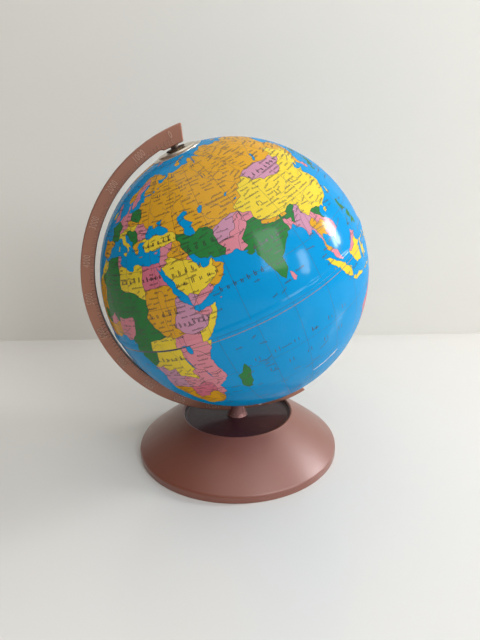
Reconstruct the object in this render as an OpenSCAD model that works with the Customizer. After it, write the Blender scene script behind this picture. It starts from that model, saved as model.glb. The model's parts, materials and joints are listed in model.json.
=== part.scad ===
// Desktop globe. A ball of two pressed tin half-shells turns on two fixed pins in a
// C-shaped meridian arm. The arm stands in the slot of a small post, and one screw from
// below clamps the arm, the post, the dish and the dished round base together.
// Origin: middle of the base, on the table. The arm lies in the XZ plane, its back at -X.

/* [Ball] */
// Diameter of the ball
ball_d = 200; // [196:1:202]
// Height of the ball's centre above the table
ball_h = 149; // [148:0.5:152]
// Tilt of the axis away from the vertical, towards -X
tilt = 23.5; // [20:0.5:27]
// Thickness of the tin shells
tin_t = 0.4; // [0.3:0.1:0.6]
// How far the upper shell's rim stands proud at the equator
seam_proud = 0.6; // [0.3:0.1:1]
// Height of that raised rim
seam_h = 4.9; // [3:0.1:6]
// Height of the lower shell's neck inside the upper shell
neck_h = 4.5; // [3:0.5:6]

/* [Meridian arm] */
// Gap between the ball's radius and the arm's inner radius
arm_gap = 5.6; // [5:0.1:7]
// Width of the arm, measured along the radius
arm_w = 10.1; // [9:0.1:11]
// Thickness of the arm
arm_t = 6; // [5:0.5:7]
// Distance from the ball's centre to the centre of the arm's curve
arm_shift = 2.5; // [2:0.1:3]
// Extra width of the arm at its foot end
flare_h = 2.9; // [1:0.1:4]
// Room between the ball's radius and each pivot boss
boss_gap = 3.5; // [3.2:0.1:4]

/* [Base] */
// Outer diameter of the base
base_d = 162; // [155:1:175]
// Height of the base at its rim
base_h = 33; // [32:0.5:34]
// Diameter of the rim around the dish
rim_d = 88.8; // [80:0.5:95]
// Height of the upright skirt
skirt_h = 4.2; // [3:0.2:6]
// Thickness of the base's sheet metal
sheet_t = 0.9; // [0.8:0.1:1.1]
// Depth of the dish below the rim
dish_depth = 3.5; // [3:0.1:4.5]
// Thickness of the felt under the base
felt_t = 1; // [0.8:0.1:1.5]

/* [Post] */
// Diameter of the post's foot
post_foot_d = 17; // [15:0.5:20]
// Diameter of the post's top
post_top_d = 12; // [11:0.5:13]
// Height of the post's top above the table
post_top_h = 42; // [40:0.5:43]

/* [Pivots and fasteners] */
// Diameter of the pivot pins
pin_d = 4; // [3:0.5:5]
// Radial clearance of a pin in its bush
running_gap = 0.05; // [0.03:0.01:0.08]
// Outer diameter of a pole cap
cap_d = 36; // [32:1:40]
// Diameter of the raised middle of a pole cap
cap_step_d = 28; // [24:1:30]
// Diameter of the dark friction washers
washer_d = 13.7; // [12:0.1:16]
// Diameter of the collars on the pins
collar_d = 5.8; // [5.5:0.1:7]
// Diameter of the clamping screw
screw_d = 4; // [3:0.5:4]

/* [Hidden] */
$fn = 96;

ball_r = ball_d / 2;
base_r = base_d / 2;
rim_r = rim_d / 2;
pin_r = pin_d / 2;
screw_r = screw_d / 2;
small_gap = 0.05;

// Meridian arm, in polar places about the centre of its own curve: 0 degrees is towards
// the north pole and the angle grows down the arm's back.
arm_in_r = ball_r + arm_gap;
arm_out_r = arm_in_r + arm_w;
boss_z = ball_r + boss_gap;
boss_front = 6.3;
north_front = 7.1;
boss_back = 7.8;
north_end = -4.4;
boss_foot = 6.7;
flare_start = 160;
south_end = 184.6;
outline_step = 2.6;

// Pivot stack along the axis, from the ball outwards
cap_t = 0.4;
cap_base = ball_r;
bush_flange_t = 0.5;
bush_flange_r = 5.5;
bush_wall = 1.4;
bush_r = pin_r + running_gap + bush_wall;
swage_t = 0.5;
swage_r = 4.6;
backing_r = 8;
backing_t = 0.7;
bush_top = cap_base + cap_t + bush_flange_t;
backing_top = ball_r - tin_t - 0.4;
bush_bottom = backing_top - backing_t - swage_t;
washer_base = bush_top + small_gap;
washer_top = washer_base + 0.65;
pin_depth = 6.5;
pin_reach = 6;

// Base profile
shoulder_r = 3;
cone_slope = 37.6;
cone_bulge = 1;
rim_round = 1.2;
floor_z = base_h - dish_depth;
dish_t = 0.8;
plate_z = floor_z - dish_t;
hem_w = 7;
skirt_foot = 0.3;

// Clamping screw, from below
clamp_t = 1.5;
clamp_r = 16;
lock_t = 1;
lock_r = 3.8;
head_t = 2.6;
head_r = 4;
screw_bite = 6;
arm_foot_z = ball_h + arm_shift * sin(tilt) - arm_out_r;
screw_top = arm_foot_z + screw_bite;
clamp_z = plate_z - sheet_t - clamp_t;
lock_z = clamp_z - lock_t;

function lerp(a, b, t) = a + (b - a) * t;
function reverse(v) = [for (i = [len(v) - 1:-1:0]) v[i]];
function smooth(t) = t * t * (3 - 2 * t);
function polar(r, a) = [-r * sin(a), r * cos(a)];
function arc(centre, r, a0, a1, n) =
    [for (i = [0:n]) centre + r * [cos(lerp(a0, a1, i / n)), sin(lerp(a0, a1, i / n))]];
function flared_r(a) =
    arm_out_r + flare_h * smooth(min(1, max(0, (a - flare_start) / (180 - flare_start))));

// Moves its children from the ball's own frame, z along the axis, into place.
module on_axis() {
    translate([0, 0, ball_h]) rotate([0, -tilt, 0]) children();
}

// The same, upside down, for the pivot at the south pole.
module on_axis_south() {
    on_axis() mirror([0, 0, 1]) children();
}

module tube(r_out, r_in, z0, z1) {
    translate([0, 0, z0]) difference() {
        cylinder(r = r_out, h = z1 - z0);
        translate([0, 0, -1]) cylinder(r = r_in, h = z1 - z0 + 2);
    }
}

// ---------------------------------------------------------------- base

// Line of the cone from the shoulder up to the rim, bulging a little outwards
function cone_line(inset) =
    let (
        foot = [base_r - shoulder_r, skirt_h]
             + shoulder_r * [cos(90 - cone_slope), sin(90 - cone_slope)],
        head = [rim_r + rim_round, base_h - rim_round * 0.4]
    )
    [for (i = [0:12]) let (t = i / 12)
        lerp(foot, head, t) + [0, cone_bulge * 4 * t * (1 - t)]
        - inset * [sin(cone_slope), cos(cone_slope)]];

module base_profile() {
    rim_centre = [rim_r + 0.2, base_h - rim_round];
    outside = concat(
        [[base_r, skirt_foot]],
        arc([base_r - shoulder_r, skirt_h], shoulder_r, 0, 90 - cone_slope - 6, 6),
        cone_line(0),
        arc(rim_centre, rim_round, 60, 180, 8)
    );
    wall_r = rim_r - 1 + sheet_t;
    inside = concat(
        [[rim_r - 1, plate_z], [screw_r + 0.3, plate_z], [screw_r + 0.3, plate_z - sheet_t]],
        [[wall_r, plate_z - sheet_t], [wall_r, base_h - 3]],
        [for (p = reverse(cone_line(sheet_t))) if (p[1] < base_h - 2.6) p],
        [[base_r - sheet_t, skirt_h], [base_r - sheet_t, felt_t + sheet_t]],
        [[base_r - hem_w, felt_t + sheet_t], [base_r - hem_w, felt_t]],
        [[base_r - sheet_t, felt_t], [base_r - sheet_t, skirt_foot]]
    );
    polygon(concat(outside, inside));
}

module base_shell() {
    color("rosybrown") rotate_extrude() base_profile();
}

module base_dish() {
    lip_r = rim_r - 1;
    color("maroon") rotate_extrude() polygon([
        [screw_r + 0.3, plate_z],
        [lip_r, plate_z],
        [lip_r, base_h - 1.4],
        [lip_r - 0.7, base_h - 1.4],
        [lip_r - 1.1, floor_z + 1],
        [lip_r - 2.2, floor_z],
        [screw_r + 0.3, floor_z]
    ]);
}

module base_felt() {
    color("darkolivegreen") cylinder(r = base_r - sheet_t - 0.3, h = felt_t);
}

module clamp_washer() {
    color("silver") tube(clamp_r, screw_r + 0.3, clamp_z, clamp_z + clamp_t);
}

// Split spring washer
module lock_washer() {
    color("silver") difference() {
        tube(lock_r, screw_r + 0.2, lock_z, lock_z + lock_t);
        translate([0, -0.4, lock_z - 1]) cube([lock_r + 1, 0.8, lock_t + 2]);
    }
}

// Cheese-head screw, driven from below into the foot of the arm
module base_screw() {
    slot_w = 1;
    slot_depth = 1.1;
    color("silver") difference() {
        union() {
            translate([0, 0, lock_z - head_t]) cylinder(r = head_r, h = head_t);
            translate([0, 0, lock_z - 0.1])
                cylinder(r = screw_r - small_gap, h = screw_top - lock_z + 0.1);
        }
        translate([-head_r - 1, -slot_w / 2, lock_z - head_t - 1])
            cube([2 * head_r + 2, slot_w, slot_depth + 1]);
    }
}

// ---------------------------------------------------------------- post and arm

// Round the foot and the top, hollowed a little between them like a trumpet
function post_r(t) = lerp(post_foot_d, post_top_d, t) / 2 - 0.6 * 4 * t * (1 - t);

module stand_post() {
    profile = concat(
        [[0, floor_z]],
        [for (i = [0:10]) [post_r(i / 10), lerp(floor_z, post_top_h - 0.6, i / 10)]],
        [[post_top_d / 2 - 0.6, post_top_h], [0, post_top_h]]
    );
    slot_t = arm_t + 2 * small_gap;
    color("rosybrown") difference() {
        rotate_extrude() polygon(profile);
        on_axis() translate([arm_shift, 0, 0]) rotate([90, 0, 0])
            cylinder(r = arm_out_r + small_gap, h = slot_t, center = true, $fn = 360);
        translate([0, 0, floor_z - 1]) cylinder(r = screw_r + 0.1, h = post_top_h);
    }
}

// One outline: the outer edge down to the flared foot end, its pivot boss, the inner edge
// back up, and the pivot boss at the north end.
module arm_outline() {
    north_tip = polar(arm_out_r - 1.2, north_end);
    south_tip = polar(flared_r(south_end) - 1.4, south_end);
    front_x = boss_front - arm_shift;
    north_x = north_front - arm_shift;
    back_x = -boss_back - arm_shift;
    polygon(concat(
        [north_tip],
        [for (a = [north_end + 0.6:outline_step:south_end - 0.6]) polar(flared_r(a), a)],
        [south_tip, [front_x, -boss_z - 1], [front_x - 0.8, -boss_z], [back_x, -boss_z]],
        [for (a = [180 - boss_foot:-outline_step:boss_foot]) polar(arm_in_r, a)],
        [[back_x, boss_z], [north_x - 0.8, boss_z], [north_x, boss_z + 1]]
    ));
}

module meridian_arm() {
    color("rosybrown") difference() {
        on_axis() translate([arm_shift, 0, 0]) rotate([90, 0, 0])
            linear_extrude(height = arm_t, center = true) arm_outline();
        on_axis() pin_hole();
        on_axis_south() pin_hole();
        translate([0, 0, arm_foot_z - 5]) cylinder(r = screw_r, h = screw_bite + 5.5);
    }
}

// ---------------------------------------------------------------- pivots

// Blind hole in a pivot boss, open towards the ball
module pin_hole() {
    translate([0, 0, boss_z - 1]) cylinder(r = pin_r, h = pin_depth + 1);
}

// Pin pressed into the arm, with a chamfered tip inside the ball
module pivot_pin() {
    tip = 0.5;
    color("silver") rotate_extrude() polygon([
        [0, ball_r - pin_reach],
        [pin_r - tip, ball_r - pin_reach],
        [pin_r, ball_r - pin_reach + tip],
        [pin_r, boss_z + pin_depth - 0.2],
        [0, boss_z + pin_depth - 0.2]
    ]);
}

module pivot_collar() {
    color("silver") tube(collar_d / 2, pin_r + 0.02, washer_top, boss_z);
}

module friction_washer() {
    color("saddlebrown") tube(washer_d / 2, pin_r + 0.1, washer_base, washer_top);
}

// Pressed cap: a flat raised middle, a step down, and a skirt that lies near the ball
module pole_cap() {
    step_r = cap_step_d / 2;
    rim = cap_d / 2;
    rim_z = sqrt(ball_r * ball_r - rim * rim) + 0.02;
    step_z = sqrt(ball_r * ball_r - step_r * step_r) + 0.1;
    color("gainsboro") rotate_extrude() polygon([
        [bush_r + small_gap, cap_base],
        [step_r - 0.7, cap_base],
        [step_r - 0.4, step_z],
        [rim, rim_z],
        [rim, rim_z + cap_t],
        [step_r + 0.1, step_z + cap_t],
        [step_r - 0.2, cap_base + 0.1],
        [step_r - 0.6, cap_base + cap_t],
        [bush_r + small_gap, cap_base + cap_t]
    ]);
}

// Flanged bush, swaged over the backing washer inside the shell
module pivot_bush() {
    bore_r = pin_r + running_gap;
    color("goldenrod") difference() {
        union() {
            translate([0, 0, bush_top - bush_flange_t]) cylinder(r = bush_flange_r, h = bush_flange_t);
            translate([0, 0, bush_bottom]) cylinder(r = bush_r, h = bush_top - bush_bottom);
            translate([0, 0, bush_bottom]) cylinder(r = swage_r, h = swage_t);
        }
        translate([0, 0, bush_bottom - 1]) cylinder(r = bore_r, h = bush_top - bush_bottom + 2);
    }
}

module backing_washer() {
    color("silver") tube(backing_r, bush_r + small_gap, backing_top - backing_t, backing_top);
}

// ---------------------------------------------------------------- ball

pole_hole_r = bush_r + small_gap;

// Points of a meridian from near the pole down to height z_end
function meridian(r, z_end) =
    let (a0 = acos(pole_hole_r / r), a1 = asin(z_end / r), n = 40)
    [for (i = [0:n]) r * [cos(lerp(a0, a1, i / n)), sin(lerp(a0, a1, i / n))]];

// The upper shell fits over the lower shell's neck, so its rim is opened out into a bead.
module upper_shell() {
    proud_r = ball_r + seam_proud;
    rotate_extrude($fn = 180) polygon(concat(
        meridian(ball_r, seam_h),
        [[ball_r + seam_proud * 0.35, seam_h * 0.8], [proud_r, seam_h * 0.5]],
        [[proud_r, 0.5], [proud_r - 0.25, small_gap]],
        reverse(meridian(ball_r - tin_t, small_gap))
    ));
}

// Drawn with its pole upwards, and mirrored into place
module lower_shell() {
    neck_r = sqrt(pow(ball_r - tin_t, 2) - pow(neck_h, 2)) - small_gap;
    rotate_extrude($fn = 180) polygon(concat(
        meridian(ball_r, 0),
        [[neck_r, 0], [neck_r, -neck_h], [neck_r - tin_t, -neck_h], [neck_r - tin_t, 0.8]],
        reverse(meridian(ball_r - tin_t, 1.4))
    ));
}

module north_hemisphere() {
    color("steelblue") on_axis() upper_shell();
}

module south_hemisphere() {
    color("deepskyblue") on_axis_south() lower_shell();
}

base_shell();
base_dish();
base_felt();
stand_post();
base_screw();
clamp_washer();
lock_washer();
meridian_arm();
on_axis() pivot_pin();  // north_pin
on_axis() pivot_collar();  // north_collar
on_axis() friction_washer();  // north_washer
on_axis_south() pivot_pin();  // south_pin
on_axis_south() pivot_collar();  // south_collar
on_axis_south() friction_washer();  // south_washer
north_hemisphere();
south_hemisphere();
on_axis() pole_cap();  // north_cap
on_axis_south() pole_cap();  // south_cap
on_axis() pivot_bush();  // north_bush
on_axis_south() pivot_bush();  // south_bush
on_axis() backing_washer();  // north_backing_washer
on_axis_south() backing_washer();  // south_backing_washer
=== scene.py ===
import json
import math
import random

import bmesh
import bpy
import numpy as np
from mathutils import Matrix, Vector
from mathutils.geometry import delaunay_2d_cdt


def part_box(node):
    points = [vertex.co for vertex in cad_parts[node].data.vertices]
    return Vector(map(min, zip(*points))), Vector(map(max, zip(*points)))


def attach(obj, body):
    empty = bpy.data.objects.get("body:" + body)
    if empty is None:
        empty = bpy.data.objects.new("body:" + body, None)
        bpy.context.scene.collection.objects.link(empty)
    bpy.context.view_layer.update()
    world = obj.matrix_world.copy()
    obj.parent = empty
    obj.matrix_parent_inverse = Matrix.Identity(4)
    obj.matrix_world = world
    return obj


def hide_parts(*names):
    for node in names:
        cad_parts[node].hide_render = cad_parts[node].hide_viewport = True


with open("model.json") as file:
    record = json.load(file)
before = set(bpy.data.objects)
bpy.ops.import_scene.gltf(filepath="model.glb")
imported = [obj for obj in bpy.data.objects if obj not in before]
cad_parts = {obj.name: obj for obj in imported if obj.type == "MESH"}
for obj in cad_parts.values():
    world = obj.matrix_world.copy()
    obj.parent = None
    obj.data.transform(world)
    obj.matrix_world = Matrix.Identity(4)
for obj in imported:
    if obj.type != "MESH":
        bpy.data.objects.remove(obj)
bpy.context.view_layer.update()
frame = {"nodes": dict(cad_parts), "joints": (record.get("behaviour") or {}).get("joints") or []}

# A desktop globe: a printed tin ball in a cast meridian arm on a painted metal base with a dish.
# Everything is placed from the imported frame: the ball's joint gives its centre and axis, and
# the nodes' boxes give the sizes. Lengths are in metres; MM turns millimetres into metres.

MM = 0.001
NODES = frame["nodes"]

# ------------------------------------------------------------------ the ball's own frame

SPIN = frame["joints"][0]
CENTRE = Vector(SPIN["pos_m"])
POLE = Vector(SPIN["axis"]).normalized()
SIDE = Vector((0, 1, 0)).cross(POLE)
TILT = Matrix((
    (SIDE.x, 0, POLE.x, CENTRE.x),
    (SIDE.y, 1, POLE.y, CENTRE.y),
    (SIDE.z, 0, POLE.z, CENTRE.z),
    (0, 0, 0, 1),
))


def half_width(node):
    low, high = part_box(node)
    return (high.y - low.y) / 2


BALL_R = round(half_width("south_hemisphere"), 4)
TIN_T = 0.4 * MM
FACING_LON = 66.0       # the meridian that faces -Y at rest
TWIST = 1.2             # degrees by which the lower shell's print is turned against the upper's
SEAM_LAT = 2.8          # the upper shell's raised rim reaches this far up
SEAM_PROUD = 0.6 * MM


def smooth(t):
    t = min(1, max(0, t))
    return t * t * (3 - 2 * t)


def printed_lat(lat):
    """Where a latitude is printed: the flat print stretched a little when the shells were pressed."""
    size = abs(lat)
    bulge = math.sin(math.pi * size / 40) if size < 40 else 0
    if lat >= 0:
        return lat + 0.7 * bulge
    slip = min(1, size / 0.3) * (90 - size) / 90
    return lat - slip - 2 * bulge


def seam_lift(lat):
    """Height of the rolled rim above the ball, by printed latitude."""
    if not 0 <= lat < SEAM_LAT:
        return 0
    return SEAM_PROUD * smooth((SEAM_LAT - lat) / 1.1) - 0.3 * MM * smooth((0.35 - lat) / 0.35)


def on_ball(lon, lat, lift=0.0, south=False):
    """Point on the ball in the ball's own frame, z along the axis."""
    turn = math.radians(lon - FACING_LON + (TWIST if south else 0))
    up = math.radians(lat)
    r = BALL_R + lift + (0 if south else seam_lift(lat))
    return Vector((
        r * math.cos(up) * math.sin(turn),
        -r * math.cos(up) * math.cos(turn),
        r * math.sin(up),
    ))


# ------------------------------------------------------------------ camera and light

CAMERA_PLACE = Vector((-0.0885, -0.4351, 0.2701))
CAMERA_RIGHT = Vector((0.9771, -0.2124, -0.0152))
CAMERA_FORWARD = Vector((0.195, 0.9212, -0.3367))
LENS_MM, SENSOR_MM = 33.9, 36


def add_camera():
    data = bpy.data.cameras.new("camera")
    data.lens = LENS_MM
    data.sensor_width = SENSOR_MM
    data.clip_start = 0.01
    cam = bpy.data.objects.new("camera", data)
    bpy.context.scene.collection.objects.link(cam)
    forward = CAMERA_FORWARD.normalized()
    up = CAMERA_RIGHT.normalized().cross(forward).normalized()
    right = forward.cross(up)
    turn = Matrix((right, up, -forward)).transposed()
    cam.matrix_world = Matrix.Translation(CAMERA_PLACE) @ turn.to_4x4()
    bpy.context.scene.camera = cam


def area_light(name, place, target, size, power, tint):
    data = bpy.data.lights.new(name, "AREA")
    data.shape = "RECTANGLE"
    data.size, data.size_y = size
    data.energy = power
    data.color = tint
    light = bpy.data.objects.new(name, data)
    bpy.context.scene.collection.objects.link(light)
    aim = (Vector(target) - Vector(place)).to_track_quat("-Z", "Y")
    light.matrix_world = Matrix.Translation(place) @ aim.to_matrix().to_4x4()


def room_light(left, right):
    """Light from the whole room, going from one colour at the left (-X) to another at the right."""
    world = bpy.data.worlds.new("room")
    bpy.context.scene.world = world
    world.use_nodes = True
    tree = world.node_tree
    direction = tree.nodes.new("ShaderNodeTexCoord").outputs["Generated"]
    split = tree.nodes.new("ShaderNodeSeparateXYZ")
    tree.links.new(direction, split.inputs[0])
    share = tree.nodes.new("ShaderNodeMapRange")
    share.inputs["From Min"].default_value = -1
    tree.links.new(split.outputs["X"], share.inputs["Value"])
    between = tree.nodes.new("ShaderNodeMix")
    between.data_type = "RGBA"
    tree.links.new(share.outputs["Result"], between.inputs["Factor"])
    ends = [socket for socket in between.inputs if socket.type == "RGBA"]
    for socket, tone in zip(ends, (left, right)):
        socket.default_value = tone
    mixed = next(socket for socket in between.outputs if socket.type == "RGBA")
    tree.links.new(mixed, tree.nodes["Background"].inputs["Color"])


# ------------------------------------------------------------------ materials

def colour(red, green, blue):
    """A colour given as on a screen, 0 to 255, by the sRGB curve."""
    shares = (c / 255 for c in (red, green, blue))
    return tuple(c / 12.92 if c < 0.04 else ((c + 0.055) / 1.055) ** 2.4 for c in shares) + (1.0,)


def scaled(tone, share):
    return tuple(c * share for c in tone[:3]) + (1.0,)


class Finish:
    """A material in the making: a Principled shader and the nodes that feed it."""

    def __init__(self, name, **sockets):
        self.material = bpy.data.materials.new(name)
        self.material.use_nodes = True
        self.tree = self.material.node_tree
        self.shader = self.tree.nodes["Principled BSDF"]
        self.place = self.add("ShaderNodeTexCoord").outputs["Object"]
        for socket, value in sockets.items():
            self.shader.inputs[socket.replace("_", " ")].default_value = value

    def add(self, kind, **settings):
        node = self.tree.nodes.new(kind)
        for setting, value in settings.items():
            setattr(node, setting, value)
        return node

    def feed(self, socket, output):
        self.tree.links.new(output, self.shader.inputs[socket])

    def noise(self, size, detail=3.0, squash=(1, 1, 1)):
        """Noise with blotches about size across, finer along an axis whose squash is above 1."""
        mapping = self.add("ShaderNodeMapping")
        mapping.inputs["Scale"].default_value = squash
        self.tree.links.new(self.place, mapping.inputs["Vector"])
        node = self.add("ShaderNodeTexNoise")
        node.inputs["Scale"].default_value = 1 / size
        node.inputs["Detail"].default_value = detail
        self.tree.links.new(mapping.outputs["Vector"], node.inputs["Vector"])
        return node.outputs[0]

    def specks(self, size):
        """Cells about size across, each with its own random number."""
        node = self.add("ShaderNodeTexVoronoi")
        node.inputs["Scale"].default_value = 1 / size
        self.tree.links.new(self.place, node.inputs["Vector"])
        return node.outputs["Color"]

    def ramp(self, value, start, end, low=0.0, high=1.0):
        """A number that goes from low to high while value goes from start to end."""
        node = self.add("ShaderNodeMapRange")
        limits = {"From Min": start, "From Max": end, "To Min": low, "To Max": high}
        for socket, number in limits.items():
            node.inputs[socket].default_value = number
        self.tree.links.new(value, node.inputs["Value"])
        return node.outputs["Result"]

    def mix(self, factor, first, second):
        """A colour between first and second, each a colour or another node's output."""
        node = self.add("ShaderNodeMix", data_type="RGBA")
        self.tree.links.new(factor, node.inputs["Factor"])
        sockets = [s for s in node.inputs if s.type == "RGBA"]
        for socket, value in zip(sockets, (first, second)):
            if isinstance(value, tuple):
                socket.default_value = value
            else:
                self.tree.links.new(value, socket)
        return next(s for s in node.outputs if s.type == "RGBA")

    def bump(self, height, depth):
        node = self.add("ShaderNodeBump")
        node.inputs["Distance"].default_value = depth
        self.tree.links.new(height, node.inputs["Height"])
        before = self.shader.inputs["Normal"]
        if before.is_linked:
            self.tree.links.new(before.links[0].from_socket, node.inputs["Normal"])
        self.feed("Normal", node.outputs["Normal"])


def lacquer(name, tone, rough, metallic, coat, coat_rough, coat_ior=1.5):
    """Metallic lacquer: fine flake, a slight orange peel and patches where hands have dulled it."""
    paint = Finish(
        name, Metallic=metallic, Coat_Weight=coat, Coat_Roughness=coat_rough, Coat_IOR=coat_ior)
    flake = paint.ramp(paint.specks(0.22 * MM), 0, 1)
    patches = paint.ramp(paint.noise(30 * MM), 0.35, 0.65)
    sparkle = paint.mix(flake, scaled(tone, 0.86), scaled(tone, 1.14))
    paint.feed("Base Color", paint.mix(patches, sparkle, scaled(tone, 0.94)))
    paint.feed("Roughness", paint.ramp(paint.noise(9 * MM), 0.3, 0.7, rough - 0.04, rough + 0.05))
    paint.bump(paint.noise(2.2 * MM, 2), 0.02 * MM)
    paint.bump(paint.noise(0.3 * MM, 1), 0.006 * MM)
    return paint.material


def dish_enamel():
    """Glossy dark maroon enamel with dust in its hollow."""
    enamel = Finish("dish_enamel", Coat_Weight=0.15, Coat_Roughness=0.15, Specular_IOR_Level=0.25)
    dust = enamel.ramp(enamel.noise(4 * MM, 6), 0.5, 0.8, 0, 0.25)
    enamel.feed("Base Color", enamel.mix(dust, colour(66, 34, 38), colour(104, 74, 76)))
    enamel.feed("Roughness", enamel.ramp(enamel.noise(12 * MM), 0.3, 0.7, 0.28, 0.36))
    enamel.bump(enamel.noise(3 * MM, 2), 0.02 * MM)
    return enamel.material


def printed_tin(name, tone):
    """Varnished offset print on tinplate: slightly uneven ink, a fine screen and shallow waves."""
    tin = Finish(name, Coat_Weight=0.4, Coat_Roughness=0.12, Specular_IOR_Level=0)
    cloud = tin.ramp(tin.noise(26 * MM, 2), 0.3, 0.7)
    grain = tin.ramp(tin.noise(0.5 * MM, 2), 0.3, 0.7)
    uneven = tin.mix(cloud, scaled(tone, 0.95), scaled(tone, 1.05))
    tin.feed("Base Color", tin.mix(grain, uneven, scaled(tone, 0.9)))
    tin.feed("Roughness", tin.ramp(tin.noise(15 * MM), 0.3, 0.7, 0.28, 0.36))
    tin.bump(tin.noise(20 * MM, 1), 0.05 * MM)
    tin.bump(tin.noise(0.8 * MM, 1), 0.002 * MM)
    return tin.material


def print_ink(name, tone, worn):
    """Ink of the map's lines, going to another tone where it is worn."""
    ink = Finish(name, Coat_Weight=0.55, Coat_Roughness=0.1)
    ink.feed("Base Color", ink.mix(ink.ramp(ink.noise(3 * MM, 4), 0.45, 0.75), tone, worn))
    ink.feed("Roughness", ink.ramp(ink.noise(5 * MM), 0.3, 0.7, 0.3, 0.4))
    return ink.material


def pressed_metal(name, tone, rough, squash):
    """Bare or plated metal with fine working marks, drawn out along the axis that isn't squashed."""
    metal = Finish(name, Metallic=1.0)
    marks = metal.noise(0.5 * MM, 4, squash)
    stain = metal.ramp(metal.noise(7 * MM, 5), 0.45, 0.75)
    metal.feed("Base Color", metal.mix(stain, tone, scaled(tone, 0.72)))
    metal.feed("Roughness", metal.ramp(marks, 0.3, 0.7, rough - 0.05, rough + 0.08))
    metal.bump(marks, 0.004 * MM)
    return metal.material


def fibre_board():
    """Dark vulcanised fibre with matted strands."""
    fibre = Finish("dark_fibre", Specular_IOR_Level=0.3)
    strands = fibre.ramp(fibre.noise(0.6 * MM, 5, (1, 4, 1)), 0.35, 0.65)
    fibre.feed("Base Color", fibre.mix(strands, colour(46, 34, 28), colour(84, 64, 50)))
    fibre.feed("Roughness", fibre.ramp(strands, 0, 1, 0.62, 0.85))
    fibre.bump(strands, 0.03 * MM)
    return fibre.material


def wool_felt():
    """Green felt with a soft fuzz."""
    felt = Finish("green_felt", Sheen_Weight=0.5, Sheen_Roughness=0.4, Specular_IOR_Level=0.1)
    fuzz = felt.ramp(felt.noise(0.7 * MM, 6), 0.3, 0.7)
    felt.feed("Base Color", felt.mix(fuzz, colour(38, 70, 52), colour(78, 112, 86)))
    felt.feed("Roughness", felt.ramp(fuzz, 0, 1, 0.85, 1.0))
    felt.bump(fuzz, 0.2 * MM)
    return felt.material


def matt_board(name, tone, rough):
    """The table top or the panel behind it."""
    board = Finish(name, Specular_IOR_Level=0.5)
    board.feed("Base Color", board.mix(board.noise(400 * MM, 3), scaled(tone, 0.97), tone))
    board.feed("Roughness", board.ramp(board.noise(60 * MM), 0.3, 0.7, rough, rough + 0.04))
    return board.material


# ------------------------------------------------------------------ building pieces

def add_object(name, mesh):
    """Puts a mesh into the scene as it lies."""
    made = bpy.data.objects.new(name, mesh)
    bpy.context.scene.collection.objects.link(made)
    return made


def add_piece(name, mesh, body, finishes, nodes=()):
    """A piece drawn in the ball's own frame, riding on a body and standing for the given nodes."""
    mesh.transform(TILT)
    piece = add_object(name, mesh)
    for finish in finishes:
        mesh.materials.append(finish)
    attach(piece, body)
    if nodes:
        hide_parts(*nodes)
    return piece


def finish_nodes(finish, *nodes):
    """Gives the CAD nodes' own meshes a finish."""
    for node in nodes:
        shown = NODES[node]
        if not shown.material_slots:
            shown.data.materials.append(finish)
        for each in shown.material_slots:
            each.material = finish


def mesh_of(name, points, faces):
    mesh = bpy.data.meshes.new(name)
    mesh.from_pydata([tuple(p) for p in points], [], faces)
    mesh.shade_smooth()
    return mesh



# ------------------------------------------------------------------ the map, in degrees

MAP_COLOURS = {
    "sea": colour(0, 150, 212),
    "orange": colour(226, 166, 44),
    "yellow": colour(238, 208, 62),
    "green": colour(50, 128, 64),
    "pink": colour(224, 140, 152),
    "mauve": colour(204, 146, 170),
    "rose": colour(218, 118, 138),
    "white": colour(236, 230, 212),
}

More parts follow.
